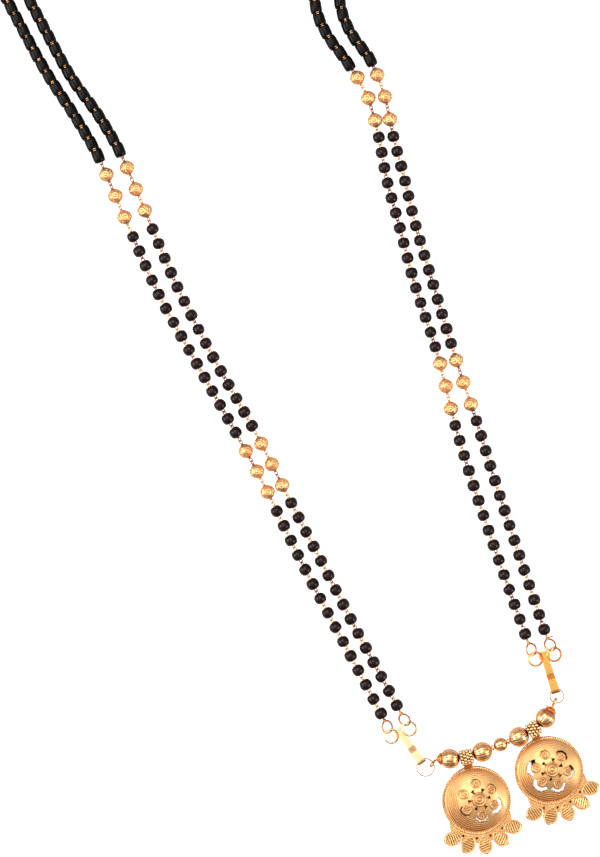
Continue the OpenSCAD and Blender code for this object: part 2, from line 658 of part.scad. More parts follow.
pendant(0, 1.4, -2);  // pendant_left
pendant(1, -14.7, 3.2);  // pendant_right
bar_wire();
bar_small_ball();
for (n = [1:4]) {
    bar_ball(n < 3 ? 0 : 1, n == 1 || n == 4 ? OUTER_BALL : INNER_BALL);
}
for (k = [0:1]) {
    bar_spacer(k);
    bar_cap(k);
    jump_ring(k);
    connector(k);
}
for (e = [0:3]) {
    end_link(e);
    black_string(e);
    barrel_string(e);
    strand_wire(e);
    for (group = [0, 1]) for (n = [0:gold_count - 1]) {
        gold_bead(e, group, n);
    }
}
back_strand(outer_track, 0, 3);  // back_strand_outer
back_strand(inner_track, 1, 2);  // back_strand_inner
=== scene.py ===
# %% [markdown]
# This lesson dresses a mangalsutra: two strands of black glass beads that meet in front in a short gold
# bar, which carries two pierced, domed discs with a fan of small leaves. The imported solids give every
# place and size. What is plain there and worked in the real jewel gets a surface of its own here.

import bmesh
import bpy
import numpy as np
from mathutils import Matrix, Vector


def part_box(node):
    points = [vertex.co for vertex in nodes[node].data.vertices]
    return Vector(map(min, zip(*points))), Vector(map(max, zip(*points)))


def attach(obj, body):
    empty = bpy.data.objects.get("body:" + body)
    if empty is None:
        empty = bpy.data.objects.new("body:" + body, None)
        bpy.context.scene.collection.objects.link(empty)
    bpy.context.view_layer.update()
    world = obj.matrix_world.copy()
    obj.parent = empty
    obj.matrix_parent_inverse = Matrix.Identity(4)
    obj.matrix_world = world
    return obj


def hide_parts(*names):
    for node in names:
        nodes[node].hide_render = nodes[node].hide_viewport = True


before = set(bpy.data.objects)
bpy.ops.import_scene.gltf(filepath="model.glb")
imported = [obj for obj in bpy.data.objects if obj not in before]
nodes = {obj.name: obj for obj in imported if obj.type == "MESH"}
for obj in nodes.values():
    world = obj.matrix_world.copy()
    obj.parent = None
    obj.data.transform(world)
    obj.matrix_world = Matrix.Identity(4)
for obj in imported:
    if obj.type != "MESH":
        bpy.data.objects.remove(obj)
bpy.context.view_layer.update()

# %% [markdown]
# The jeweller's measures are in millimetres, from the middle of the bar: X runs along the bar and Y
# toward the back of the neck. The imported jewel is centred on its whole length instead, so one number
# joins the two, and one function builds every piece, so that no piece can forget the shift.

# %% Millimetres from the middle of the bar
MM = 0.001
MIDDLE_Y = 127.342  # from the middle of the bar to the middle of the whole jewel, in mm


def middle_of(node):
    """Middle of a node's box, in mm from the middle of the bar."""
    low, high = (np.array(corner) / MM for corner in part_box(node))
    return (low + high) / 2 + [0, MIDDLE_Y, 0]


print("left ball, in mm from the middle of the bar:", middle_of("bar_ball_1").round(2))

# %% [markdown]
# Most pieces are thin worked surfaces. Each is a grid of points that a formula places, because what a
# goldsmith turns, draws or raises from a sheet follows a rule with two numbers in it. Every point also
# carries a value that the finish paints as shade, mostly by how deep the point lies, so that recesses
# and creases darken with painted shade; on a few wires the same value marks copper where the plate is thin.


# %% Grids of points
def xyz(x, y, z):
    """Points from their three coordinates, each a number or an array."""
    return np.stack(np.broadcast_arrays(x, y, z), axis=-1)


def quads(rows, cols, wrap_rows, wrap_cols):
    """Faces of a grid: each point with its next row and next column; a wrapped side ends at its start."""
    i, j = np.meshgrid(np.arange(rows - (not wrap_rows)), np.arange(cols - (not wrap_cols)), indexing="ij")
    i, j = i.ravel(), j.ravel()
    below, beside = (i + 1) % rows, (j + 1) % cols
    return np.stack([i * cols + j, below * cols + j, below * cols + beside, i * cols + beside], axis=1)


def patch(points, wrap_rows=False, wrap_cols=False, recess=0.0):
    """One surface, or a stack of equal ones: its points, its faces, and each point's painted shade, which
    on a few wires also marks copper.
    """
    rows, cols = points.shape[-3:-1]
    one = quads(rows, cols, wrap_rows, wrap_cols)
    starts = np.arange(points.size // (rows * cols * 3)) * rows * cols
    faces = (one[None] + starts[:, None, None]).reshape(-1, 4)
    return points.reshape(-1, 3), faces, np.broadcast_to(recess, points.shape[:-1]).reshape(-1)


def without(surface, keep):
    """The same surface with only the faces that keep marks."""
    points, faces, recess = surface
    return points, faces[keep], recess


# %% One piece from its surfaces
def add_object(name, data):
    """A new object in the scene."""
    holder = bpy.data.objects.new(name, data)
    bpy.context.scene.collection.objects.link(holder)
    return holder


def build(name, surfaces, finish, stands_for=(), wall=0.0):
    """Joins the surfaces of one piece, welds seams and poles, turns faces outward and ties it to the jewel.
    A piece with a wall is an open sheet: its faces already look up, and the wall grows below them."""
    starts = np.cumsum([0] + [len(s[0]) for s in surfaces[:-1]])
    points = (np.concatenate([s[0] for s in surfaces]) - [0, MIDDLE_Y, 0]) * MM
    faces = np.concatenate([s[1] + start for s, start in zip(surfaces, starts)])
    mesh = bpy.data.meshes.new(name)
    mesh.vertices.add(len(points))
    mesh.vertices.foreach_set("co", points.astype(np.float32).ravel())
    mesh.loops.add(faces.size)
    mesh.loops.foreach_set("vertex_index", faces.astype(np.int32).ravel())
    mesh.polygons.add(len(faces))
    mesh.polygons.foreach_set("loop_start", np.arange(0, faces.size, 4, dtype=np.int32))
    mesh.update(calc_edges=True)
    # Painted shade for the finish: dark in recesses, creases and on shaded sides; on a few wires also
    # copper where the plate is thin.
    recess = mesh.attributes.new("recess", "FLOAT", "POINT")
    recess.data.foreach_set("value", np.concatenate([s[2] for s in surfaces]).astype(np.float32))
    shell = bmesh.new()
    shell.from_mesh(mesh)
    bmesh.ops.remove_doubles(shell, verts=shell.verts, dist=1e-7)
    loose = [v for v in shell.verts if not v.link_faces]
    bmesh.ops.delete(shell, geom=loose, context="VERTS")
    if not wall:
        bmesh.ops.recalc_face_normals(shell, faces=shell.faces)
    shell.to_mesh(mesh)
    shell.free()
    mesh.polygons.foreach_set("use_smooth", np.ones(len(mesh.polygons), bool))
    piece = add_object(name, mesh)
    mesh.materials.append(finish)
    if wall:
        thick = piece.modifiers.new("wall", "SOLIDIFY")
        thick.thickness = wall * MM
        thick.offset = -1
    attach(piece, "root")
    if stands_for:
        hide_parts(*stands_for)
    print(name, len(mesh.polygons), "faces")


# %% [markdown]
# The same few rules shape every piece: a soft step, a ridge, a row of swells, a profile turned on an axis,
# and a wire drawn along a line. Each rule works on whole arrays, so one call shapes a whole piece.

# %% Rules that shape the pieces
def step(low, high, x):
    """A soft step from 0 at low to 1 at high."""
    t = np.clip((x - low) / (high - low), 0, 1)
    return t * t * (3 - 2 * t)


def ridge(x, middle, width):
    """A bell that is 1 at the middle and has died away at twice its width."""
    return np.exp(-((x - middle) / width) ** 2)


def swells(x, pitch):
    """Waves from 0 to 1 and back, one for each pitch, with a crest at nought."""
    return 0.5 + 0.5 * np.cos(2 * np.pi * x / pitch)


def powered(wave, power):
    """A wave to a power, with its sign kept: squarer under 1, more pointed over 1."""
    return np.sign(wave) * np.abs(wave) ** power


def laid(points, turn, x, y, z=0.0):
    """Points turned by an angle about the vertical, then moved to x, y, z."""
    c, s = np.cos(np.radians(turn)), np.sin(np.radians(turn))
    return xyz(c * points[..., 0] - s * points[..., 1] + x,
               s * points[..., 0] + c * points[..., 1] + y, points[..., 2] + z)


def lathe(along, radius, angle):
    """A shape turned on the X axis: at each angle it stands radius away from the axis."""
    return xyz(along, radius * np.cos(angle), radius * np.sin(angle))


def around(count):
    """Angles once round a circle, in a row."""
    return (2 * np.pi * np.arange(count) / count)[None, :]


def unit(ways):
    """The same directions, each of length 1."""
    return ways / np.linalg.norm(ways, axis=1)[:, None]


def directions(line):
    """Direction of a line at each of its points, from the point before to the point after."""
    return unit(np.gradient(line, axis=0))


def ends_doubled(*rows):
    """Each array with its first and its last row once more."""
    return [np.concatenate([v[:1], v, v[-1:]]) for v in rows]


def tube(line, radius, sides):
    """A round wire along a line: at each point a circle square to the line. Its ends shrink to a point."""
    line = np.asarray(line, float)
    along = directions(line)
    side = np.cross(along, [0, 0, 1.0])
    flat = np.linalg.norm(side, axis=1) < 0.05
    side[flat] = np.cross(along[flat], [1.0, 0, 0])
    side = unit(side)
    radius = np.concatenate([[0], np.full(len(line), radius), [0]])
    line, side, up = ends_doubled(line, side, np.cross(side, along))
    a = around(sides)[..., None]
    return line[:, None] + radius[:, None, None] * (np.cos(a) * side[:, None] + np.sin(a) * up[:, None])


def loops(middle, along, across, ring, wire, steps=12, sides=6):
    """Round wire loops, one for each middle: a circle of radius ring in the plane of along and across."""
    square = np.cross(along, across)
    a = around(steps)[0][None, :, None, None]
    b = around(sides)[0][None, None, :, None]
    out = np.cos(a) * along[:, None, None] + np.sin(a) * across[:, None, None]
    return (middle[:, None, None] + (ring + wire * np.cos(b)) * out
            + wire * np.sin(b) * square[:, None, None])


# %% [markdown]
# A finish is what the real surface is. The gold is brass with a polished gold plate: mirror-like where it
# has been rubbed, with a little old polish in clouds, and orange-brown painted shade in the recesses that
# stands in for their shade and the metal's own reflection there. The beads are black glass, with a trace
# of brown. One helper adds a node, so that each recipe stays short.


# %% Helpers for finishes
def linear(code):
    """Linear colour of an sRGB hex value."""
    s = np.array([int(code[i:i + 2], 16) for i in (1, 3, 5)]) / 255
    return tuple(float(v) for v in np.where(s <= 0.04045, s / 12.92, ((s + 0.055) / 1.055) ** 2.4)) + (1.0,)


def add_node(tree, kind, settings=(), inputs=()):
    """Adds a node; settings are its own, and an input is a value or a pair of a node and its output."""
    node = tree.nodes.new("ShaderNode" + kind)
    for name, value in dict(settings).items():
        setattr(node, name, value)
    for name, value in dict(inputs).items():
        if isinstance(value, tuple) and isinstance(value[0], bpy.types.Node):
            tree.links.new(value[0].outputs[value[1]], node.inputs[name])
        else:
            node.inputs[name].default_value = value
    return node


def fresh(name):
    """A new material with an empty node tree, and that tree's coordinates."""
    material = bpy.data.materials.new(name)
    material.use_nodes = True
    material.node_tree.nodes.clear()
    return material, material.node_tree, add_node(material.node_tree, "TexCoord")


def noise(tree, place, size, detail):
    """Clouds on Object coordinates, about size mm wide."""
    return add_node(tree, "TexNoise", {}, {
        "Vector": (place, "Object"), "Scale": 1 / (size * MM), "Detail": detail}), "Fac"


def ranged(tree, value, low, high, to_low, to_high):
    """A value between low and high, stretched to another range."""
    return add_node(tree, "MapRange", {}, {
        "Value": value, "From Min": low, "From Max": high, "To Min": to_low, "To Max": to_high}), "Result"


def mixed(tree, share, first, second):
    """Two colours mixed: only the first at share 0, only the second at 1."""
    return add_node(tree, "Mix", {"data_type": "RGBA"}, {0: share, 6: first, 7: second}), 2


def product(tree, first, second):
    """Two values multiplied."""
    return add_node(tree, "Math", {"operation": "MULTIPLY"}, {0: first, 1: second}), "Value"


def coated(material, inputs):
    """The material with its shader, which has these inputs."""
    shader = add_node(material.node_tree, "BsdfPrincipled", {}, inputs)
    add_node(material.node_tree, "OutputMaterial", {}, {"Surface": (shader, "BSDF")})
    return material


# %% Gold that a plate gives
def plated_gold(name, bright, deep, smooth, worn, marks=0.15):
    """Polished plate: bright on the high places; the deep colour is painted shade in the recesses, and
    copper on a few wires; with a little old polish in clouds and rubbing marks of two sizes.
    """
    material, tree, place = fresh(name)
    depth = add_node(tree, "Attribute", {"attribute_name": "recess"})
    cloud = noise(tree, place, 1.6, 2.0)
    rubbed = noise(tree, place, 0.12, 2.0)
    # Painted shade from the attribute, with copper where a wire marks it, plus a little old polish from the
    # clouds.
    low_place = add_node(tree, "Math", {"operation": "ADD", "use_clamp": True}, {
        0: ranged(tree, cloud, 0.35, 0.75, 0.0, 0.16), 1: (depth, "Fac")})
    bump = add_node(tree, "Bump", {}, {"Height": rubbed, "Strength": marks, "Distance": 0.02 * MM})
    return coated(material, {
        "Base Color": mixed(tree, (low_place, "Value"), linear(bright), linear(deep)),
        "Metallic": 1.0,
        "Roughness": ranged(tree, cloud, 0.3, 0.7, smooth, worn),
        "Normal": (bump, "Normal")})


# Plain polished plate of the small turned spacers: butter yellow, and orange-brown where it turns away.
polished_gold = plated_gold("polished_gold_plate", "#FAD296", "#964C18", 0.16, 0.3)
# Turned balls, burnished with no rubbing marks: wide pale patches, and orange-brown painted shade in their
# grooves and rings.
ball_gold = plated_gold("burnished_ball_gold", "#FCC488", "#A8440E", 0.2, 0.3, 0.02)
# The same plate on the discs and leaves, brushed to a soft sheen, so its highlights spread and pale.
satin_gold = plated_gold("satin_gold_plate", "#E6B67C", "#9C521A", 0.42, 0.54)
# Pressed sheet of the strung gold beads, a warm peach gold with a soft gloss.
bead_gold = plated_gold("pressed_bead_gold", "#FEC88C", "#B4540E", 0.4, 0.5)
# Stamped leaves, whose ribs are rubbed pale, with dark painted shade between them.
leaf_gold = plated_gold("stamped_leaf_gold", "#F6CE92", "#863E0E", 0.34, 0.46)
# Fused granules and relief that polish has rubbed almost white, with dark brown painted shade between them.
rubbed_gold = plated_gold("rubbed_pale_gold", "#FFD8A2", "#8A3C10", 0.26, 0.4)
# Redder metal of the caps at the ends of the bar, where copper shows through the plate.
red_gold = plated_gold("copper_red_gold", "#FA9A50", "#A8400E", 0.3, 0.42)
# Drawn wire with a thin plate: pinkish gold, copper red where the plate is thin, and dark painted shade
# between its turns.
wire_gold = plated_gold("drawn_gold_wire", "#EDB478", "#8C2E0C", 0.26, 0.4)
# Brownish beige wire of the jump rings, whose plate has worn down to a dull alloy.
pale_wire = plated_gold("worn_pale_wire", "#A88458", "#5C4420", 0.5, 0.6)
# Rolled sheet of the right connector, a strong orange yellow; the left one is the same sheet, made pale
# lemon as a painted highlight.
warm_sheet = plated_gold("warm_sheet_gold", "#F2B864", "#B4560C", 0.3, 0.42)
highlight_sheet = plated_gold("sheet_gold_painted_highlight", "#FFF2BE", "#B4641C", 0.3, 0.42)


# %% Black glass
def black_glass(name, body, warmth, smooth, gloss):
    """Pressed glass, almost opaque: a dark body with faint brown clouds, gloss and a little orange peel."""
    material, tree, place = fresh(name)
    cloud = noise(tree, place, 2.2, 3.0)
    peel = noise(tree, place, 0.35, 1.0)
    bump = add_node(tree, "Bump", {}, {"Height": peel, "Strength": 0.2, "Distance": 0.01 * MM})
    return coated(material, {
        "Base Color": mixed(tree, cloud, linear(body), linear(warmth)),
        "Roughness": ranged(tree, peel, 0.0, 1.0, smooth, smooth + 0.1),
        "Normal": (bump, "Normal"), "IOR": 1.5, "Specular IOR Level": gloss})


# Fire-polished rounds: nearly black, brown where light gets in, with two soft grey highlights.
round_glass = black_glass("black_glass_rounds", "#040202", "#260E0E", 0.22, 0.2)
# Cut barrels from the same glass, a shade cooler and duller.
barrel_glass = black_glass("black_glass_barrels", "#030303", "#100A0A", 0.24, 0.1)
print("finishes:", [m.name for m in bpy.data.materials])

# %% [markdown]
# The spacers and the jump rings are already right as solids: plain turned pieces. They keep their packed
# shape and only get their finish, slot by slot.

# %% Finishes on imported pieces
ENDS = ("outer_left", "inner_left", "inner_right", "outer_right")
SIDES = ("left", "right")
for kind, finish in (("jump_ring", pale_wire), ("bar_spacer", polished_gold)):
    for side_name in SIDES:
        for packed_slot in nodes[f"{kind}_{side_name}"].material_slots:
            packed_slot.material = finish
        print("kept as packed:", kind, side_name)

# %% [markdown]
# To thread the wire, each bead's place is needed. A string of beads is one node, so its loose solids are
# told apart: points that coincide are welded, then each triangle spreads its smallest label until
# nothing changes, and each label left is one bead.


# %% Where each bead lies
def packed_points(node):
    """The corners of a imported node's mesh, in mm from the middle of the whole jewel."""
    mesh = nodes[node].data
    points = np.empty(len(mesh.vertices) * 3, np.float32)
    mesh.vertices.foreach_get("co", points)
    return points.reshape(-1, 3) / MM


def bead_middles(node):
    """Middles of the loose solids of a node, in mm, in order from the bar to the neck."""
    mesh = nodes[node].data
    points = packed_points(node)
    corners = np.empty(len(mesh.loops), np.int32)
    mesh.loops.foreach_get("vertex_index", corners)
    _, weld = np.unique(np.round(points * 1e4).astype(np.int64), axis=0, return_inverse=True)
    weld = weld.reshape(-1)
    triangles = weld[corners].reshape(-1, 3)
    label = np.arange(weld.max() + 1)
    while True:
        spread = label.copy()
        np.minimum.at(spread, triangles.ravel(), np.repeat(label[triangles].min(axis=1), 3))
        spread = spread[spread]
        if (spread == label).all():
            break
        label = spread
    _, bead = np.unique(label[weld], return_inverse=True)
    bead = bead.reshape(-1)
    low = np.full((bead.max() + 1, 3), np.inf)
    high = -low
    np.minimum.at(low, bead, points)
    np.maximum.at(high, bead, points)
    middles = (low + high) / 2 + [0, MIDDLE_Y, 0]
    return middles[np.argsort(middles[:, 1])]


strings = {}
for end in ENDS:
    black = bead_middles(f"black_beads_{end}")
    barrel = bead_middles(f"barrel_beads_{end}")
    gold = np.array([middle_of(f"gold_bead_{end}_{n}") for n in range(1, 7)])
    kind = np.repeat(["black", "barrel", "gold"], [len(black), len(barrel), len(gold)])
    middles = np.concatenate([black, barrel, gold])
    order = np.argsort(middles[:, 1])
    strings[end] = middles[order], kind[order]
    print(end, len(black), "round,", len(barrel), "barrel,", len(gold), "gold beads")

# %% [markdown]
# The round beads are pressed glass, a little shorter than wide, and none sits quite straight on its wire.
# The barrels stand end to end, each a little askew, so a strand of them looks like one wavy cord. A
# profile is turned about every bead's own direction at once, so that each can lean its own way.


# %% Turned beads on a strand
def frame_along(along):
    """For each direction, a level side and the upward third direction."""
    side = unit(np.cross(along, [0, 0, 1.0]))
    return side, np.cross(side, along)


def turned_on(place, along, x, r, a):
    """For each place, the points x ahead of it and r away from its direction, at the angles a."""
    place, along, side, up = (v[:, None, None] for v in (place, along, *frame_along(along)))
    return (place + x[..., None] * along
            + (r * np.cos(a))[..., None] * side + (r * np.sin(a))[..., None] * up)


def strung(place, along, profile, sides, size=1.0):
    """One turned bead for each place: a profile of distances along and away from its own direction."""
    size = np.broadcast_to(size, len(place))[:, None, None]
    return turned_on(place, along, profile[None, :, 0, None] * size, profile[None, :, 1, None] * size,
                     around(sides)[None])


# Profiles: how far along the bore, and how far from it, mm
ROUND = np.array([[-1.12, 0.3], [-1.14, 0.72], [-0.88, 1.12], [-0.34, 1.34], [0.34, 1.34], [0.88, 1.12],
                  [1.14, 0.72], [1.12, 0.3]])
BARREL = np.array([[-1.5, 0.3], [-1.57, 0.85], [-1.42, 1.17], [-0.75, 1.3], [0.75, 1.3], [1.42, 1.17],
                   [1.57, 0.85], [1.5, 0.3]])
ASKEW = np.radians(-5.0)  # every barrel lies turned this far from its strand, the same way


def turned(along, angle):
    """The same directions, turned by an angle about the vertical."""
    c, s = np.cos(angle), np.sin(angle)
    return along @ np.array([[c, s, 0], [-s, c, 0], [0, 0, 1.0]])


rng = np.random.default_rng(7)
for end in ENDS:
    middles, kind = strings[end]
    along = directions(middles)
    black = kind == "black"
    lean = unit(along[black] + rng.normal(0, 0.13, (black.sum(), 3)) * [1, 1, 0.5])
    beads = strung(middles[black], lean, ROUND, 14, rng.uniform(0.97, 1.03, black.sum()))
    beads[..., 2] += np.maximum(0, -beads[..., 2].min(axis=(1, 2)))[:, None, None]
    build(f"round_beads_{end}", [patch(beads, True, True)], round_glass,
          [f"black_beads_{end}"])
    barrel = kind == "barrel"
    beads = strung(middles[barrel], turned(along[barrel], ASKEW), BARREL, 14)
    build(f"askew_barrels_{end}", [patch(beads, True, True)], barrel_glass,
          [f"barrel_beads_{end}"])

# %% [markdown]
# Each bead sits on its own short piece of wire, and the wires hook into each other in the gap, eye
# through eye. Beside a gold bead the gap is wider, so a few turns of the wire's tail show behind each
# eye. All gaps of a strand are worked out together, one loop and one sleeve for each side of a gap.


# %% Wire eyes in every gap
def sleeves(start, along, length, radius, turns, steps=12, sides=10):
    """Turns of wire wound on a wire: a closed tube whose radius rises and falls on a helix."""
    t = np.linspace(0, 1, steps)[None, :, None]
    a = around(sides)[None]
    crest = np.abs(np.sin(np.pi * turns[:, None, None] * t + a / 2))
    r = (radius - 0.07 + 0.07 * crest) * np.where((t == 0) | (t == 1), 0, 1)
    # The second value is painted shade, darkest between the turns.
    return turned_on(start, along, length[:, None, None] * t, r, a), (1 - crest) ** 2


HALF = {"black": 1.14, "barrel": 1.25, "gold": 1.6}  # half a bead's length along its bore, mm
EYE_RING = 0.33  # middle radius of a wire eye, mm
WIDE_EYE_RING = 0.42  # the same in the wide gaps beside gold beads
EYE_WIRE = 0.12  # half the wire, mm
for end in ENDS:
    middles, kind = strings[end]
    half = np.array([HALF[name] for name in kind])
    along = unit(np.diff(middles, axis=0))
    start = middles[:-1] + half[:-1, None] * along
    stop = middles[1:] - half[1:, None] * along
    gap = np.linalg.norm(stop - start, axis=1)
    joined = (kind[:-1] == "barrel") & (kind[1:] == "barrel")
    side, up = frame_along(along)
    roll = np.radians(rng.uniform(25, 65, len(gap)))[:, None]
    first = np.cos(roll) * side + np.sin(roll) * up
    second = np.cos(roll) * up - np.sin(roll) * side
    # Between barrels the two eyes stand across the strand, side by side, and their tops show in the notch.
    centre = (start + stop) / 2 + np.where(joined, rng.uniform(0.78, 0.9, len(gap)), 0)[:, None] * up
    first, second = (np.where(joined[:, None], up, across) for across in (first, second))
    lead = np.where(joined[:, None], side, along)
    wide = gap > 1.0
    ring = np.where(wide, WIDE_EYE_RING, EYE_RING)
    apart = np.where(joined, 0.18, ring - EYE_WIRE)[:, None]
    copper = (rng.random(len(gap)) < 0.4) * rng.uniform(0.5, 0.95, len(gap)) * np.where(joined, 0.3, 1)
    surfaces = []
    for sign, across in ((-1, first), (1, second)):
        eyes = loops(centre + sign * apart * along, lead, across, ring[:, None, None, None], EYE_WIRE)
        surfaces.append(patch(eyes, True, True, recess=copper[:, None, None]))
    reach = gap[wide] / 2 - 2 * WIDE_EYE_RING + 0.12
    # The sleeves carry painted shade between their turns, and the copper of their gap where that is
    # stronger.
    for sign, from_bead in ((1, start), (-1, stop)):
        points, low = sleeves(from_bead[wide] - sign * 0.15 * along[wide], sign * along[wide],
                              np.maximum(reach, 0.1) + 0.15, 0.33, np.maximum(reach, 0.2) / 0.11)
        surfaces.append(patch(points, False, True, recess=np.maximum(low, copper[wide][:, None, None])))
    build(f"wire_eyes_{end}", surfaces, wire_gold, [f"strand_wire_{end}"])

# %% [markdown]
# A strand goes on round the back of the neck as a close row of barrel beads. Nobody sees them in front,
# but the jewel has them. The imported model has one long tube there, so the beads are set out along the
# ridge of that tube, evenly, and each has few faces, because there are well over a hundred.


# %% Barrel beads round the neck
BEND_MIDDLE_Y = 185  # a point inside the bend behind the neck, from which its whole line is seen, mm
BARREL_R = 1.35  # how far the tube's ridge lies above its middle line, mm
PITCH = 2.9  # from one barrel bead to the next, mm
PLAIN_BARREL = BARREL[[0, 1, 2, 5, 6, 7]]


def ridge_line(node):
    """The top line of a lying tube, from left to right: its highest points, in order of angle."""
    points = packed_points(node) + [0, MIDDLE_Y, 0]
    top = points[points[:, 2] > points[:, 2].max() - 0.01]
    top = np.unique(top.round(3), axis=0)
    angle = np.arctan2(top[:, 1] - BEND_MIDDLE_Y, top[:, 0])
    return top[np.argsort(-angle)]


for strand in ("outer", "inner"):
    line = ridge_line(f"back_strand_{strand}") - [0, 0, BARREL_R]
    run = np.concatenate([[0], np.cumsum(np.linalg.norm(np.diff(line, axis=0), axis=1))])
    count = int(round(run[-1] / PITCH))
    s = (np.arange(count) + 0.5) * run[-1] / count
    place = np.stack([np.interp(s, run, line[:, k]) for k in range(3)], axis=1)
    along = turned(directions(place), ASKEW)
    beads = patch(strung(place, along, PLAIN_BARREL, 10), True, True)
    thread = patch(tube(line, EYE_WIRE, 6), False, True)
    build(f"neck_beads_{strand}", [beads], barrel_glass, [f"back_strand_{strand}"])
    build(f"neck_wire_{strand}", [thread], wire_gold)
    print(strand, count, "barrel beads behind the neck")

# %% [markdown]
# The gold beads are pressed from sheet in two halves, with a dot in a ring five times round the middle and
# small dots toward the ends. Here a bead is a turned egg whose radius rises over each ring and dot. The
# grooves beside them and the ends of the bead get painted shade, so that the plain ground stays bright.


# %% Gold beads with rings and dots
BEAD_R = 1.52  # a gold bead's radius, without its motifs, mm
BEAD_MEAN = 1.55  # the radius by which lengths from bore to bore are told, as the bead is a little long


def over_ball(bore, radius, count):
    """Angles over a ball from one end of its bore to the other, in a column."""
    start = np.arcsin(bore / radius)
    return np.linspace(start, np.pi - start, count)[:, None]


def far_from(t, a, row, way):
    """Distance over a gold bead, in mm, from a motif on a row and at an angle."""
    away = (a - np.radians(way) + np.pi) % (2 * np.pi) - np.pi
    return np.hypot(BEAD_MEAN * (t - np.pi / 2) - row, BEAD_R * np.sin(t) * away)


def dot(far, radius):
    """A round dot: the upper half of a circle over the distance from its middle."""
    return np.sqrt(np.clip(1 - (far / radius) ** 2, 0, 1))


def pressed_bead(turn):
    """A ball a little longer than wide; over each motif its radius grows by a dot and a ring round it."""
    t = over_ball(0.4, BEAD_R, 37)
    a = around(108)
    height, low = np.zeros((2, 37, 108))
    for k in range(5):
        far = far_from(t, a, 0, 72 * k + turn)
        height = np.maximum(height, 0.13 * np.maximum(dot(far, 0.3), ridge(far, 0.64, 0.13)))
        # Painted shade: the groove between dot and ring, a thin line outside the ring, and a ring round
        # each small dot.
        low = np.maximum(low, np.maximum(0.85 * ridge(far, 0.4, 0.08), 0.6 * ridge(far, 0.86, 0.06)))
        for row in (-0.95, 0.95):
            far = far_from(t, a, row, 72 * k + 36 + turn)
            height = np.maximum(height, 0.08 * dot(far, 0.26))
            low = np.maximum(low, 0.4 * ridge(far, 0.3, 0.06))
    # Painted shade also darkens the bead toward both ends of its bore.
    end = step(1.3, 1.7, np.abs(BEAD_MEAN * (t - np.pi / 2)))
    radius = BEAD_R + height
    stretch = HALF["gold"] / BEAD_R
    return lathe(-stretch * radius * np.cos(t), radius * np.sin(t), a), np.maximum(low, 0.6 * end)


def heading(start, end):
    """The way from one node's middle to another's, in degrees."""
    way = middle_of(end) - middle_of(start)
    return np.degrees(np.arctan2(way[1], way[0]))


def turned_piece(name, shape, turn, node, finish, stands_for):
    """Builds one turned shape round the middle of a node, its bore at an angle over the table."""
    points, low = shape
    points = laid(points, turn, *middle_of(node))
    build(name, [patch(points, True, True, recess=low)], finish, [stands_for])


for end in ENDS:
    for n in range(1, 7):
        bead = f"gold_bead_{end}_{n}"
        beside = f"gold_bead_{end}_{n + 1 if n in (1, 4) else n - 1}"
        shape = pressed_bead(90 + rng.uniform(-24, 24))
        turned_piece(f"pressed_bead_{end}_{n}", shape, heading(beside, bead), bead, bead_gold, bead)

# %% [markdown]
# The bar's balls are melon beads: fourteen flutes run from bore to bore, cut narrow and sharp, with painted
# shade in each, so that it shows as a thin dark line on a bright ball. The outer ball on the right also has
# fine turned rings beside its cap.

# %% Fluted balls on the bar
BAR_Z = 2.2  # the bar wire's height over the table, and a ball's radius, mm
# The way that each ball's bore points, degrees
BALLS = (("bar_ball_1", -19.709), ("bar_ball_2", -1.404), ("bar_ball_3", 1.628), ("bar_ball_4", 30.635))


def fluted_ball(radius, flutes, depth, rings):
    """A ball with a bore; where the sine of flutes times half the angle is near nought, a narrow groove."""
    t = over_ball(0.45, radius, 49)
    a = around(flutes * 10)
    groove = ridge(np.sin(flutes * a / 2), 0, 0.2) * step(0.15, 0.55, np.sin(t))
    bulge = np.abs(np.sin(flutes * a / 2)) ** 0.7
    x = -radius * np.cos(t)
    ring = rings * step(0.75, 0.95, x) * swells(x, 0.3)
    collar = ridge(np.abs(x), radius * 0.9, 0.07)
    r = radius - depth * (1 - bulge) * np.sin(t) - 0.04 * groove - 0.07 * ring - 0.03 * collar
    # The second value is painted shade in the flutes' grooves, the turned rings and the collars beside the
    # bore.
    return lathe(-r * np.cos(t), r * np.sin(t), a), np.clip(groove + ring + 0.7 * collar, 0, 1) * 0.9


for node, turn in BALLS:
    shape = fluted_ball(BAR_Z, 14, 0.035, node == "bar_ball_4")
    turned_piece(f"fluted_{node}", shape, turn, node, ball_gold, node)
small = "bar_small_ball"
turned_piece("fluted_small_ball", fluted_ball(1.55, 8, 0.04, False), 0.3, small, ball_gold, small)

# %% [markdown]
# The bar wire is drawn wire, bent a little between one piece and the next. At each end it is turned into
# an open eye that stands upright and holds a jump ring. A circle carried along the line of its bends
# gives it, because that is how drawn wire comes about.

# %% Bar wire with its two eyes
EYES = ((-15.198, 1.431, 212.0), (14.475, 3.775, 45.0))  # middle of each eye, and the way it points
BENDS = ((-14.148, 2.087), (-13.427, 1.741), (-9.689, 0.402), (-6.180, -0.192), (-2.112, -0.291),
         (-1.463, -0.254), (1.550, -0.240), (2.199, -0.269), (6.269, -0.153), (9.763, 0.508),
         (13.151, 2.514), (13.6, 2.9))  # where the wire bends, mm
TAIL = ((13.2, 3.0, 2.6), (12.75, 3.7, 2.8), (12.25, 4.2, 2.6))  # the wire's cut end beside the right cap
EYE_R = 0.888  # middle radius of an eye, mm
BAR_WIRE = 0.28  # half the wire, mm


def upright_eye(x, y, way):
    """An open circle that stands on the table's vertical and on the way it points, from top to closing."""
    a = np.radians(np.linspace(90, -205, 40))
    out = EYE_R * np.cos(a)
    return xyz(x + out * np.cos(np.radians(way)), y + out * np.sin(np.radians(way)),
               BAR_Z - EYE_R + EYE_R * np.sin(a))


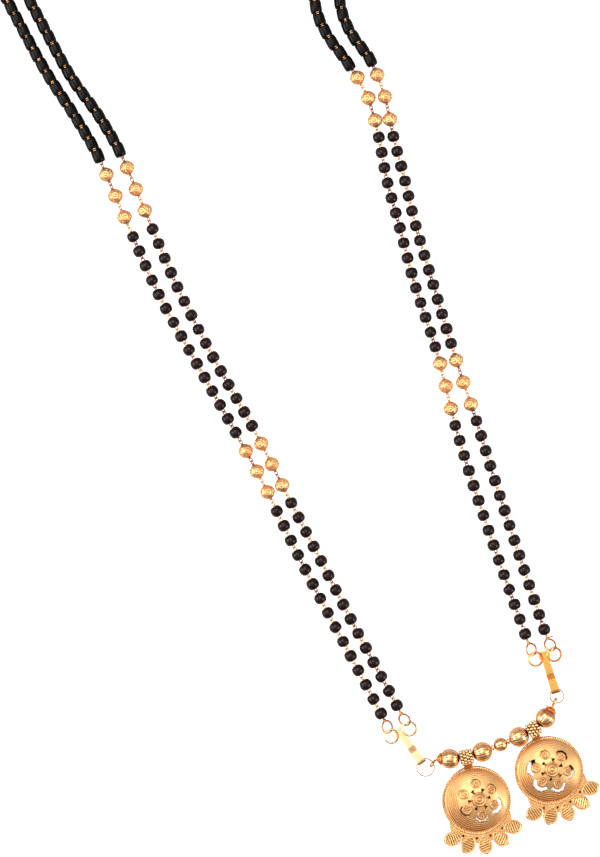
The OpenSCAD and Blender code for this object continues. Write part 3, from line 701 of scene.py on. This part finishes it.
rod = [(x, y, BAR_Z) for x, y in BENDS]
eyes = [upright_eye(*eye) for eye in EYES]
surfaces = [patch(tube(line, BAR_WIRE, 12), False, True) for line in (rod, *eyes)]
surfaces.append(patch(tube(TAIL, 0.1, 8), False, True))
build("bar_wire_with_eyes", surfaces, wire_gold, ["bar_wire"])

# %% [markdown]
# Outside each end ball the wire's tail is wound on itself into a small bell, of turns that get narrower.
# Loops of wire would need joining, so the bell is one turned profile that swells at each turn.


# %% Wound end caps
def wound_cap():
    """A bell of turns of wire on the ball's end: its radius falls outward and swells at each turn."""
    x = np.linspace(1.84, 2.8, 33)[:, None]
    swell = swells(x - 1.95, 0.28)
    r = 1.3 - 0.75 * step(2.0, 2.8, x) + 0.08 * swell
    r[[0, -1]] = 0.3
    # The second value is painted shade between the turns.
    return lathe(x, r, around(40)), np.broadcast_to(0.6 * (1 - swell), (33, 40))


for side_name, ball in (("left", "bar_ball_1"), ("right", "bar_ball_4")):
    cap = f"bar_cap_{side_name}"
    turned_piece(f"wound_cap_{side_name}", wound_cap(), heading(ball, cap), ball, red_gold, cap)

# %% [markdown]
# Each strand ends in a round link that hangs in an ear of the connector. Its tail is wound a few times
# round the strand's own wire, close turn beside close turn, as a jeweller finishes a wrapped loop.

# %% Wrapped end links
# For each link: where it hangs in its ear, its way and its rise in degrees, and its bare wire, mm
HOOKS = ((-21.569, 11.786, 91.0, 7.25, 0.08), (-17.383, 11.823, 96.0, 6.66, 0.45),
         (14.166, 15.663, 92.0, 6.45, 0.6), (18.359, 15.098, 91.0, 6.59, 0.5))
# Painted shade that darkens one side of each ring.
painted_dark_side = (0.45 + 0.4 * np.cos(around(48) + 0.6))[..., None]  # darker on one side of a ring
EAR_Z = 0.949  # the ears' height over the table, mm
LINK_R, LINK_WIRE = 1.35, 0.2  # middle radius of a link and half its wire, mm
for end, roll, (x, y, way, rise, bare) in zip(ENDS, (35, -35, 35, -35), HOOKS):
    way, rise, roll = np.radians((way, rise, roll))
    along = np.array([[np.cos(way) * np.cos(rise), np.sin(way) * np.cos(rise), np.sin(rise)]])
    side, up = frame_along(along)
    across = -np.cos(roll) * side + np.sin(roll) * up
    hook = np.array([[x, y, EAR_Z]])
    ring = loops(hook + 0.75 * along, along, across, LINK_R, LINK_WIRE, 48, 10)
    wound, low = sleeves(hook + 2.02 * along, along, np.array([0.58]), 0.45, np.array([3.0]), 25, 20)
    thin, thin_low = sleeves(hook + 2.55 * along, along, np.array([bare + 0.35]), 0.26,
                             np.array([2.0 + 5 * bare]), 25, 14)
    # Painted shade: each link ring darker on one side, and dark between the turns of the wrapping.
    surfaces = [patch(ring, True, True, recess=painted_dark_side), patch(wound, False, True, recess=low),
                patch(thin, False, True, recess=thin_low)]
    if end == "outer_right":
        tail = hook[0] + 2.5 * along[0] + np.array([[0.2, 0, 0.1], [0.75, -0.12, 0.3], [1.3, -0.2, 0.25]])
        surfaces.append(patch(tube(tail, 0.13, 8), False, True, recess=0.8))
    build(f"wrapped_link_{end}", surfaces, wire_gold, [f"end_link_{end}"])

# %% [markdown]
# A connector is one strip of sheet: its low end folds over the jump ring into a short tab, and two rings
# soldered to its top take the strands. The strip is a rounded section carried along the fold, a little
# hollowed between its edges, with a step across it where the pressed part begins.


# %% Folded connectors
def ribbon(line, across, half_wide, thick):
    """A flat closed bar along a bent line: at each point a squared ring, wide along across."""
    face = np.cross(directions(line), across)
    line, face, half_wide, thick = ends_doubled(line, face, half_wide, thick)
    half_wide[[0, -1]] = thick[[0, -1]] = 0
    a = around(28)
    beside, over = powered(np.cos(a), 0.4), powered(np.sin(a), 0.4)
    wide = half_wide[:, None] * beside
    high = thick[:, None] / 2 * over * (1 - 0.35 * np.clip(1 - np.abs(beside) ** 3, 0, 1))
    return line[:, None] + wide[..., None] * across + high[..., None] * face[:, None], np.abs(beside)


# For each strip: its finish, its fold and its way, the middles of its ears, and its jump ring's radius
# The left strip's pale lemon finish is a painted highlight on the same sheet as the right one.
STRIPS = {"left": (highlight_sheet, -17.570, 3.031, 104.0, ((-21.543, 10.286), (-17.226, 10.332)), 1.925),
          "right": (warm_sheet, 15.648, 6.410, 85.0, ((14.219, 14.164), (18.385, 13.599)), 1.525)}
RING_Z = 1.404  # the jump rings' height over the table, mm
STRIP_LONG, STRIP_HALF, STRIP_T = 8.7, 0.95, 0.3  # a strip's length, half width at the fold, and thickness
BEND = 0.305 + STRIP_T / 2  # radius of the fold, at the middle of the sheet
FLAT, TURNED, TAB = 70, 20, 24  # points along the strip, round the fold and along the tab
for side_name, (finish, x, y, way, ears, ring_r) in STRIPS.items():
    slack = ring_r - np.sqrt(ring_r ** 2 - STRIP_HALF ** 2)
    w = np.radians(way)
    ahead = np.array([np.cos(w), np.sin(w), 0])
    across = np.array([-np.sin(w), np.cos(w), 0])
    turn = np.radians(np.linspace(0, 180, TURNED + 2)[1:-1])
    u = np.concatenate([np.linspace(STRIP_LONG, -slack, FLAT), -slack - BEND * np.sin(turn),
                        np.linspace(-slack, 1.9, TAB)])
    z = RING_Z - BEND * np.concatenate([np.ones(FLAT), np.cos(turn), -np.ones(TAB)])
    line = np.array([x, y, 0]) + u[:, None] * ahead + z[:, None] * [0, 0, 1.0]
    on_strip = np.arange(len(u)) < FLAT
    shoulder = 0.6 * step(6.4, 7.7, u) - 0.5 * step(7.9, STRIP_LONG, u)
    wide = STRIP_HALF + np.where(on_strip, shoulder - 0.2 * np.clip(u / STRIP_LONG, 0, 1), 0)
    band = step(2.1, 2.3, u) * (1 - step(3.4, 3.6, u)) * on_strip
    points, edge = ribbon(line, across, wide, STRIP_T * (1 - 0.25 * band))
    # Painted shade: darker in the pressed band, at the fold, and a little down the hollow middle of the
    # strip.
    deep = 0.55 * band + 0.6 * step(0.1, -0.3, u)
    low = ends_doubled(deep)[0][:, None] + 0.15 * (1 - edge)
    ear_middles = np.array([[ex, ey, EAR_Z + 0.06] for ex, ey in ears])
    rings = loops(ear_middles, np.array([[1.0, 0, 0]] * 2), np.array([[0, 1.0, 0]] * 2), 1.5, 0.22, 48, 10)
    # The ear rings carry the same painted dark side.
    surfaces = [patch(points, False, True, recess=low), patch(rings, True, True, recess=painted_dark_side)]
    build(f"folded_strip_{side_name}", surfaces, finish, [f"connector_{side_name}"])

# %% [markdown]
# A disc is the jewel's showpiece: a sheet of gold raised into a dome, cut through beside its six oval
# petals and its middle boss, chased with fine rings, and closed by a twisted rope. On a polar grid the
# dome's height is a sum: the ball's curve, petals, boss, ribs and chased rings.

# %% Measures of a disc
DISC_R = 7.25  # to the middle of the rope, mm
BALL_R = 10.5125  # the ball that the dome is a part of, mm
DOME_MID = 3.3 - BALL_R  # that ball's middle, from the table
PETALS = np.radians(30 + 60 * np.arange(6))  # the ways from the disc's middle to its petals
PETAL_AT = 3.5  # from the disc's middle to a petal's, mm


def dome_height(r):
    """Height of the dome over the table at a distance from its middle."""
    return DOME_MID + np.sqrt(BALL_R ** 2 - np.minimum(r, DISC_R) ** 2)


def local(x, y, angle, radius):
    """Coordinates on a place at an angle and radius: outward from the middle, and square to that."""
    c, s = np.cos(angle), np.sin(angle)
    return x * c + y * s - radius, y * c - x * s


print("a dome rises to", round(float(dome_height(0)), 2), "mm")

# %% [markdown]
# The real openings are sawn out. Cutting them with a boolean would leave long thin faces, so a field says
# how deep a point lies in the nearest opening. Faces inside one go, and points near its edge move onto it.


# %% Openings of a disc
def disc_openings(x, y, widths):
    """How deep a point lies inside an opening, below nought outside: a crescent past each petal, as wide as
    widths says, and small triangles round the boss."""
    depth = np.full(x.shape, -9.0)
    for angle, width in zip(PETALS, widths):
        u, v = local(x, y, angle, PETAL_AT)
        crescent = np.minimum(1.2 + width - np.hypot(u, v), np.hypot(u + 0.15, v) - 1.2)
        depth = np.maximum(depth, np.minimum(crescent, u + 0.1 - 0.23 * np.abs(v)))
        u, v = local(x, y, angle - np.pi / 6, 2.1)
        depth = np.maximum(depth, np.minimum(0.35 - u, (0.467 * (u + 0.55) - np.abs(v)) * 0.906))
    return depth


# %% Relief of a disc
CHASED = 0.38  # from one chased ring to the next, mm
BOSS_R = 1.66  # where the boss meets the dome, mm


def disc_relief(x, y):
    """Height over the dome and depth of painted shade: chased rings, cut deepest and shaded darkest at the
    lower left, petals with curved ribs, and a boss with rings."""
    r = np.hypot(x, y)
    lower = step(-0.35, 0.75, -(0.75 * x + 0.66 * y) / np.maximum(r, 0.1))
    band = step(4.2, 4.8, r) * (1 - step(6.7, 6.9, r))
    chased = swells(r, CHASED) * band
    # Painted shade, here and below: between the chased rings, strongest toward the lower left, between the
    # petal ribs, in lines round each petal, between the boss's rings and round its foot.
    height, shade = 0.12 * chased * (0.35 + 0.65 * lower), 0.85 * (band - chased) * (0.06 + 0.94 * lower)
    for angle in PETALS:
        u, v = local(x, y, angle, PETAL_AT)
        oval = np.hypot(u / 0.98, v / 1.02)
        inside = 1 - step(0.84, 1.02, oval)
        rib = swells(0.9 * v + 0.4 * u + 0.28 * u * u, 0.46)
        ribbed = (1 - step(0.58, 0.7, oval)) * (1 - rib)
        petal = 0.26 - 0.13 * ribbed + 0.06 * ridge(oval, 0.82, 0.09)
        height = height * (1 - inside) + inside * petal
        shade = np.where(inside > 0.5, 0.7 * ribbed, shade)
        shade = np.maximum(shade, 0.75 * ridge(oval, 0.66, 0.05))
        shade = np.maximum(shade, 0.65 * ridge(oval, 1.06, 0.05))
    inside = 1 - step(1.5, 1.62, r)
    rings = np.maximum(swells(r - 0.8, 0.62), 1 - step(0.15, 0.3, r))
    height = np.where(r < BOSS_R, inside * (0.18 + 0.14 * rings), height)
    shade = np.where(r < 1.5, 0.75 * (1 - rings) ** 1.5, shade)
    return height, np.maximum(shade, 0.7 * ridge(r, BOSS_R, 0.06))


# %% Points of a pierced disc
SMALL = 0.01  # a small step, to measure how steep the field of the openings is
SNAP = 0.058  # how near an opening's edge a point moves onto it, mm


def pierced_disc(widths, rows=122, cols=360):
    """The dome with its relief on a polar grid, and which of its faces lie outside the openings. A point
    moves onto an edge along the field's slope, by its depth over the slope's length."""
    r = (np.linspace(0, 1, rows) ** 0.95 * DISC_R)[:, None]
    a = around(cols)
    x, y = r * np.cos(a), r * np.sin(a)
    deep = disc_openings(x, y, widths)
    slope_x = (disc_openings(x + SMALL, y, widths) - deep) / SMALL
    slope_y = (disc_openings(x, y + SMALL, widths) - deep) / SMALL
    steep = np.maximum(slope_x ** 2 + slope_y ** 2, 0.2)
    near = np.abs(deep) < SNAP
    x = x - np.where(near, deep * slope_x / steep, 0)
    y = y - np.where(near, deep * slope_y / steep, 0)
    height, shade = disc_relief(x, y)
    # Painted shade along the edge of each opening.
    shade = np.maximum(shade, 0.6 * ridge(np.minimum(deep, 0), 0, 0.07))
    solid = deep.ravel()[quads(rows, cols, False, True)].mean(axis=1) <= 0.004
    return xyz(x, y, dome_height(np.hypot(x, y)) + height), shade, solid


# %% [markdown]
# The rim is a rope of two twisted wires. The leaves are stamped teardrops with a raised edge and ribs
# across, soldered on a flat plate outside the rope. A leaf grid runs from its middle out to its outline,
# over the raised edge and down its side.

# %% Rope rim and leaf plate
TWISTS = 114  # swells round a rope, one every 0.4 mm
HOLES = (-1.5, -0.5, 0.5, 1.5)  # places of the plate's holes, counted in leaves from the middle one
HOLE_R = 8.35  # from the disc's middle to a hole, mm
LEAF_STEP = 21  # from one leaf to the next, degrees


def rope_rim():
    """A ring whose section swells and shrinks on a helix."""
    a = around(1136).T
    b = around(10)
    twist = np.cos(TWISTS * a + b)
    section = 0.33 + 0.08 * twist
    out = DISC_R + section * np.cos(b)
    points = xyz(out * np.cos(a), out * np.sin(a), 0.4 + section * np.sin(b))
    # The second value is painted shade between the twists.
    return points, 0.8 * (0.5 - 0.5 * twist) ** 1.5


def leaf_plate():
    """A flat plate from the rope to the leaves, drawn in at both ends, with four small round holes."""
    a = np.radians(np.linspace(-61, 61, 240))[None, :]
    edge = 9.35 - 1.7 * np.clip((np.abs(a) - np.radians(46.4)) / np.radians(14.6), 0, 1)
    rho = DISC_R - 0.1 + (edge - DISC_R + 0.1) * np.linspace(0, 1, 34)[:, None]
    x, y = rho * np.sin(a), -rho * np.cos(a)
    hole = np.full(x.shape, 9.0)
    for k in HOLES:
        way = np.radians(LEAF_STEP * k - 90)
        hole = np.minimum(hole, np.hypot(x - HOLE_R * np.cos(way), y - HOLE_R * np.sin(way)) - 0.24)
    # Painted shade: a little over the whole plate, and more round each hole.
    surface = patch(xyz(x, y, 0.48), recess=0.15 + 0.5 * ridge(hole, 0, 0.1))
    return without(surface, hole.ravel()[surface[1]].mean(axis=1) > 0)


def balls(middle, radius):
    """Small balls of few faces, one for each middle."""
    t = np.linspace(0, np.pi, 7)[:, None]
    return middle[:, None, None] + radius * lathe(np.cos(t), np.sin(t), around(10))


def bead_row():
    """A row of 37 tiny soldered beads on the plate, close to the rope."""
    a = np.radians(np.linspace(-150, -30, 37))
    return balls(xyz(7.82 * np.cos(a), 7.82 * np.sin(a), 0.55), 0.2)


# %% [markdown]
# Each leaf is a teardrop struck in a die: slanting ribs, a raised edge with a fine line inside it, and a
# side that goes down to the table. A thin pointed plate lies under it, and its tip shows past the leaf.


# %% Leaves
def leaf_outline():
    """Points of the outline from the thick end round: half an ellipse, then sides that run to a tip."""
    a = around(96)
    far = np.where(np.cos(a) > 0, 1.6, 2.5)
    bow = np.where(np.cos(a) > 0, 1.0, 1.35)
    return 2.55 + far * np.cos(a), 1.55 * powered(np.sin(a), bow)


def stamped_leaf():
    """From the middle outward: ribbed ground, a raised edge with a fine line, and the side of the leaf."""
    edge_x, edge_y = leaf_outline()
    s = np.concatenate([np.linspace(0, 0.74, 20), np.linspace(0.77, 1, 12), [1, 1]])[:, None]
    x, y = 2.2 + (edge_x - 2.2) * s, edge_y * s
    rib = swells(x + 0.18 * y - 0.98, 0.52) ** 0.45
    ground = 1 - step(0.72, 0.82, s)
    height = 0.5 + 0.3 * rib * ground + 0.4 * step(0.74, 0.86, s) * (1 - 0.35 * step(0.93, 1.0, s))
    height[-2], height[-1] = 0.45, 0.02
    # Painted shade: between the ribs, a thin line at the foot of the raised edge, and the leaf's side.
    shade = np.maximum(0.95 * (1 - rib) ** 1.4 * ground, 0.75 * ridge(s, 0.75, 0.03))
    shade[-2:] = 0.7
    floor = np.full((1, 96, 3), (2.2, 0, 0.02))
    return np.concatenate([xyz(x, y, height), floor]), np.concatenate([shade, shade[-1:]])


def diamond_backing():
    """A thin pointed plate under a leaf, its far tip a little past the round end."""
    a = around(64)
    far = 1.6 / (np.abs(np.cos(a)) ** 1.5 + np.abs(np.sin(a)) ** 1.5) ** (1 / 1.5)
    s = np.array([0, 1, 1, 0])[:, None]
    z = np.array([0.36, 0.36, 0.04, 0.04])[:, None]
    return xyz(2.75 + far * s * np.cos(a), far * s * np.sin(a), z)


# %% [markdown]
# The bail is a short tube on the bar, dressed with four rows of gold granules that are fused on, each row
# set half a step round from the last. A strap below it carries the disc. The tube is turned with its
# bore, and the granules are small balls of few faces, because there are forty-eight on each bail.

# %% Bail
def bail_tube():
    """A tube with a bore 1.8 wide and a rolled bead at each end."""
    x = np.array([-1.4, -1.4, -1.3, -1.2, -1.1, 0, 1.1, 1.2, 1.3, 1.4, 1.4])[:, None]
    r = np.array([0.9, 1.25, 1.36, 1.36, 1.27, 1.25, 1.27, 1.36, 1.36, 1.25, 0.9])[:, None]
    return lathe(x, r, around(64))


def granules():
    """Balls 0.7 across in four rows of twelve, fused to the tube by a fifth of their width."""
    row, i = (g.ravel() for g in np.meshgrid(np.arange(4), np.arange(12), indexing="ij"))
    way = 2 * np.pi * (i + (row % 2) / 2) / 12
    points = balls(xyz((row - 1.5) * 0.68, 1.43 * np.cos(way), 1.43 * np.sin(way)), 0.34)
    # The second value is painted shade where each granule meets the tube.
    return points, 1 - step(1.38, 1.58, np.hypot(points[..., 1], points[..., 2]))


def strap():
    """A rounded strap from the rope up to the tube's wall, wider at the top."""
    line = np.array([[0, 7.2, 0.45], [0, 7.7, 0.65], [0, 8.2, 1.0], [0, 8.7, 1.35], [0, 8.95, 1.6]])
    wide = np.array([1.05, 0.95, 0.9, 0.95, 1.0])
    a = around(24)
    face = np.cross(np.array([1.0, 0, 0]), directions(line))
    size = np.array([0, 1, 1, 1, 1, 1, 0])[:, None, None]
    line, wide, face = ends_doubled(line, wide, face)
    return (line[:, None] + size * (wide[:, None] * powered(np.cos(a), 0.6))[..., None] * [1.0, 0, 0]
            + size * (0.32 * powered(np.sin(a), 0.6))[..., None] * face[:, None])


# %% [markdown]
# The two pendants are a pair made by hand, so each has its own turn, its own lean and openings of its own
# widths. One loop makes both from the same rules, and these few numbers make them differ.

# %% Both pendants
DISCS = {"left": (-10.7, -9.461, -9.851), "right": (1.96, 7.770, -9.728)}  # turn, degrees, and middle, mm
STRAPS = {"left": -8.7, "right": -1.24}  # turn of the strap between disc and bail, degrees
BAILS = {"left": (-10.10, -7.957, -0.015, BAR_Z), "right": (13.46, 7.986, 0.220, BAR_Z)}
# How wide each opening is, in mm, petal by petal; below nought it is closed
WIDTHS = {"left": (0.0, -0.07, -0.07, 0.15, 0.25, 0.8), "right": (0.25, -0.07, 0.7, 0.7, 0.6, 0.4)}
LEAN = (0.209, 0.077)  # how far a dome's crown leans for each mm of its height: it isn't quite even
for side_name in SIDES:
    place = DISCS[side_name] + (0.0,)
    points, low, solid = pierced_disc(WIDTHS[side_name])
    points = laid(points, *place)
    points = points + points[..., 2:] * [*LEAN, 0]
    dome = without(patch(points, False, True, recess=low), solid)
    print("disc", side_name, len(solid), "faces,", int((~solid).sum()), "of them cut away")
    build(f"pierced_dome_{side_name}", [dome], satin_gold, [f"pendant_{side_name}"], wall=0.25)
    points, low = rope_rim()
    rope = patch(laid(points, *place), True, True, recess=low)
    build(f"rope_rim_{side_name}", [rope], rubbed_gold)
    points, faces, low = leaf_plate()
    plate = (laid(points, *place), faces, low)
    build(f"leaf_plate_{side_name}", [plate], satin_gold, wall=0.4)
    leaf, leaf_low = stamped_leaf()
    backing = diamond_backing()
    surfaces = [patch(laid(bead_row(), *place), False, True)]
    for k in range(-2, 3):
        # The backing gets an even painted shade, as it lies under the leaf.
        for shape, low in ((leaf, leaf_low), (backing, 0.35)):
            moved = laid(shape - [2.1, 0, 0], 24 * k, 9.85, 0)
            moved = laid(laid(moved, LEAF_STEP * k - 90, 0, 0), *place)
            surfaces.append(patch(moved, False, True, recess=low))
    build(f"leaves_{side_name}", surfaces, leaf_gold)
    grains, grain_low = granules()
    # Painted shade: the tube dark between its granules, and each granule dark at its foot.
    build(f"granulated_bail_{side_name}", [
        patch(laid(bail_tube(), *BAILS[side_name]), True, True, recess=0.9),
        patch(laid(grains, *BAILS[side_name]), False, True, recess=grain_low)], rubbed_gold)
    # The strap gets an even painted shade, under the bail.
    carrier = patch(laid(strap(), STRAPS[side_name], *place[1:]), False, True, recess=0.6)
    build(f"bail_strap_{side_name}", [carrier], satin_gold)

# %% [markdown]
# The jewel lies on a white table under soft light, photographed from straight above. A light table glows
# a little of itself, which is why the real picture has hardly a shadow. Two low soft boxes make the two
# grey highlights on each bead, and a large one overhead fills the gold.

# %% Table
span = np.linspace(-1500, 1500, 3)
points, faces, _ = patch(xyz(span[:, None], span + MIDDLE_Y, -0.02))
table_mesh = bpy.data.meshes.new("light_table")
table_mesh.from_pydata(((points - [0, MIDDLE_Y, 0]) * MM).tolist(), [], faces.tolist())
table = add_object("light_table", table_mesh)
opal, opal_tree, opal_place = fresh("opal_white_acrylic")
opal_cloud = noise(opal_tree, opal_place, 250, 2.0)
opal_tone = mixed(opal_tree, opal_cloud, linear("#B8B8B8"), linear("#C4C4C4"))
seen = add_node(opal_tree, "LightPath")
glow = ranged(opal_tree, (seen, "Is Camera Ray"), 0.0, 1.0, 0.04, 0.9)
# Painted shadows on the table, where the metal would shut the light off: a dark brown round under the upper
# side of each dome, and a small one under each hole of the plates, where the table's glow is cut as well.
painted_shadows = []
for side_name, reach, way in (("left", 5.6, 109.0), ("right", 4.9, 53.0)):
    turn, x, y = DISCS[side_name]
    way = np.radians(way)
    painted_shadows.append((x + 2 * np.cos(way) + 2.5 * LEAN[0], y + 2 * np.sin(way) + 2.5 * LEAN[1], reach))
    for k in HOLES:
        way = np.radians(LEAF_STEP * k - 90 + turn)
        painted_shadows.append((x + HOLE_R * np.cos(way), y + HOLE_R * np.sin(way), 0.5))
for x, y, reach in painted_shadows:
    far = add_node(opal_tree, "VectorMath", {"operation": "DISTANCE"}, {
        0: (opal_place, "Object"), 1: (x * MM, (y - MIDDLE_Y) * MM, -0.02 * MM)})
    lit = ranged(opal_tree, (far, "Value"), (reach - 0.15) * MM, (reach + 0.1) * MM, 0.0, 1.0)
    # The dark brown is the painted shadow's colour.
    opal_tone = mixed(opal_tree, lit, linear("#2A1206"), opal_tone)
    glow = product(opal_tree, glow, lit)
coated(opal, {"Base Color": opal_tone, "Roughness": 0.6, "Emission Color": linear("#FFFFFF"),
              "Emission Strength": glow})
table_mesh.materials.append(opal)


# %% [markdown]
# Three white soft boxes stand over the table, and a world that is dim below and toward the front fills the
# rest, so that the polished gold has something bright and something dark to mirror.


# %% Lights
def soft_box(name, place, width, height, power):
    """A rectangular lamp at a place in metres that faces the jewel's front."""
    lamp = bpy.data.lights.new(name, "AREA")
    lamp.shape, lamp.size, lamp.size_y, lamp.energy = "RECTANGLE", width, height, power
    holder = add_object(name, lamp)
    aim = Vector(np.array([0, -0.09, 0]) - place)
    holder.rotation_euler = aim.to_track_quat("-Z", "Y").to_euler()
    holder.location = place


RIGHT = np.array([0.92718, -0.37461, 0])  # to the right in the picture, which is turned by 22 degrees
UP = np.array([0.37461, 0.92718, 0])  # up in the picture
soft_box("left_box", -0.75 * RIGHT - 0.1 * UP + [0, -0.09, 0.42], 0.45, 0.4, 5.0)
soft_box("right_box", 0.75 * RIGHT - 0.15 * UP + [0, -0.09, 0.42], 0.4, 0.35, 4.5)
soft_box("top_box", -0.25 * RIGHT + 0.45 * UP + [0, -0.09, 1.2], 0.8, 0.6, 9.0)

world = bpy.data.worlds.new("studio")
bpy.context.scene.world = world
world.use_nodes = True
sky = world.node_tree
sky.nodes.clear()
way_up = add_node(sky, "TexCoord")
split = add_node(sky, "SeparateXYZ", {}, {"Vector": (way_up, "Generated")})
lift = ranged(sky, (split, "Z"), 0.1, 0.9, 0.25, 1.1)
grade = ranged(sky, (split, "Y"), -0.9, 0.5, 0.35, 1.0)
room = add_node(sky, "Background", {}, {
    "Color": linear("#FFFDF8"), "Strength": product(sky, lift, grade)})
add_node(sky, "OutputWorld", {}, {"Surface": (room, "Background")})
print("lights:", len(bpy.data.lights))

# %% [markdown]
# The photograph looks straight down, is turned by 22 degrees against the bar, and was taken from so far
# that nothing leans, so the camera hangs high over the middle of the picture with a long lens.

# %% Camera
HEIGHT = 0.8  # of the camera over the table, m
camera_data = bpy.data.cameras.new("camera")
camera_data.sensor_width = 36.0
camera_data.lens = 36.0 * HEIGHT / 0.18854  # the picture's height covers 188.5 mm of table
camera_data.clip_start, camera_data.clip_end = 0.01, 10
camera = add_object("camera", camera_data)
camera.location = (-0.01479, (80.50 - MIDDLE_Y) * MM, HEIGHT)
camera.rotation_euler = (0, 0, -np.radians(22.0))
bpy.context.scene.camera = camera
bpy.context.scene.view_settings.view_transform = "Standard"
print("camera", HEIGHT, "m up, lens", round(camera_data.lens, 1), "mm")
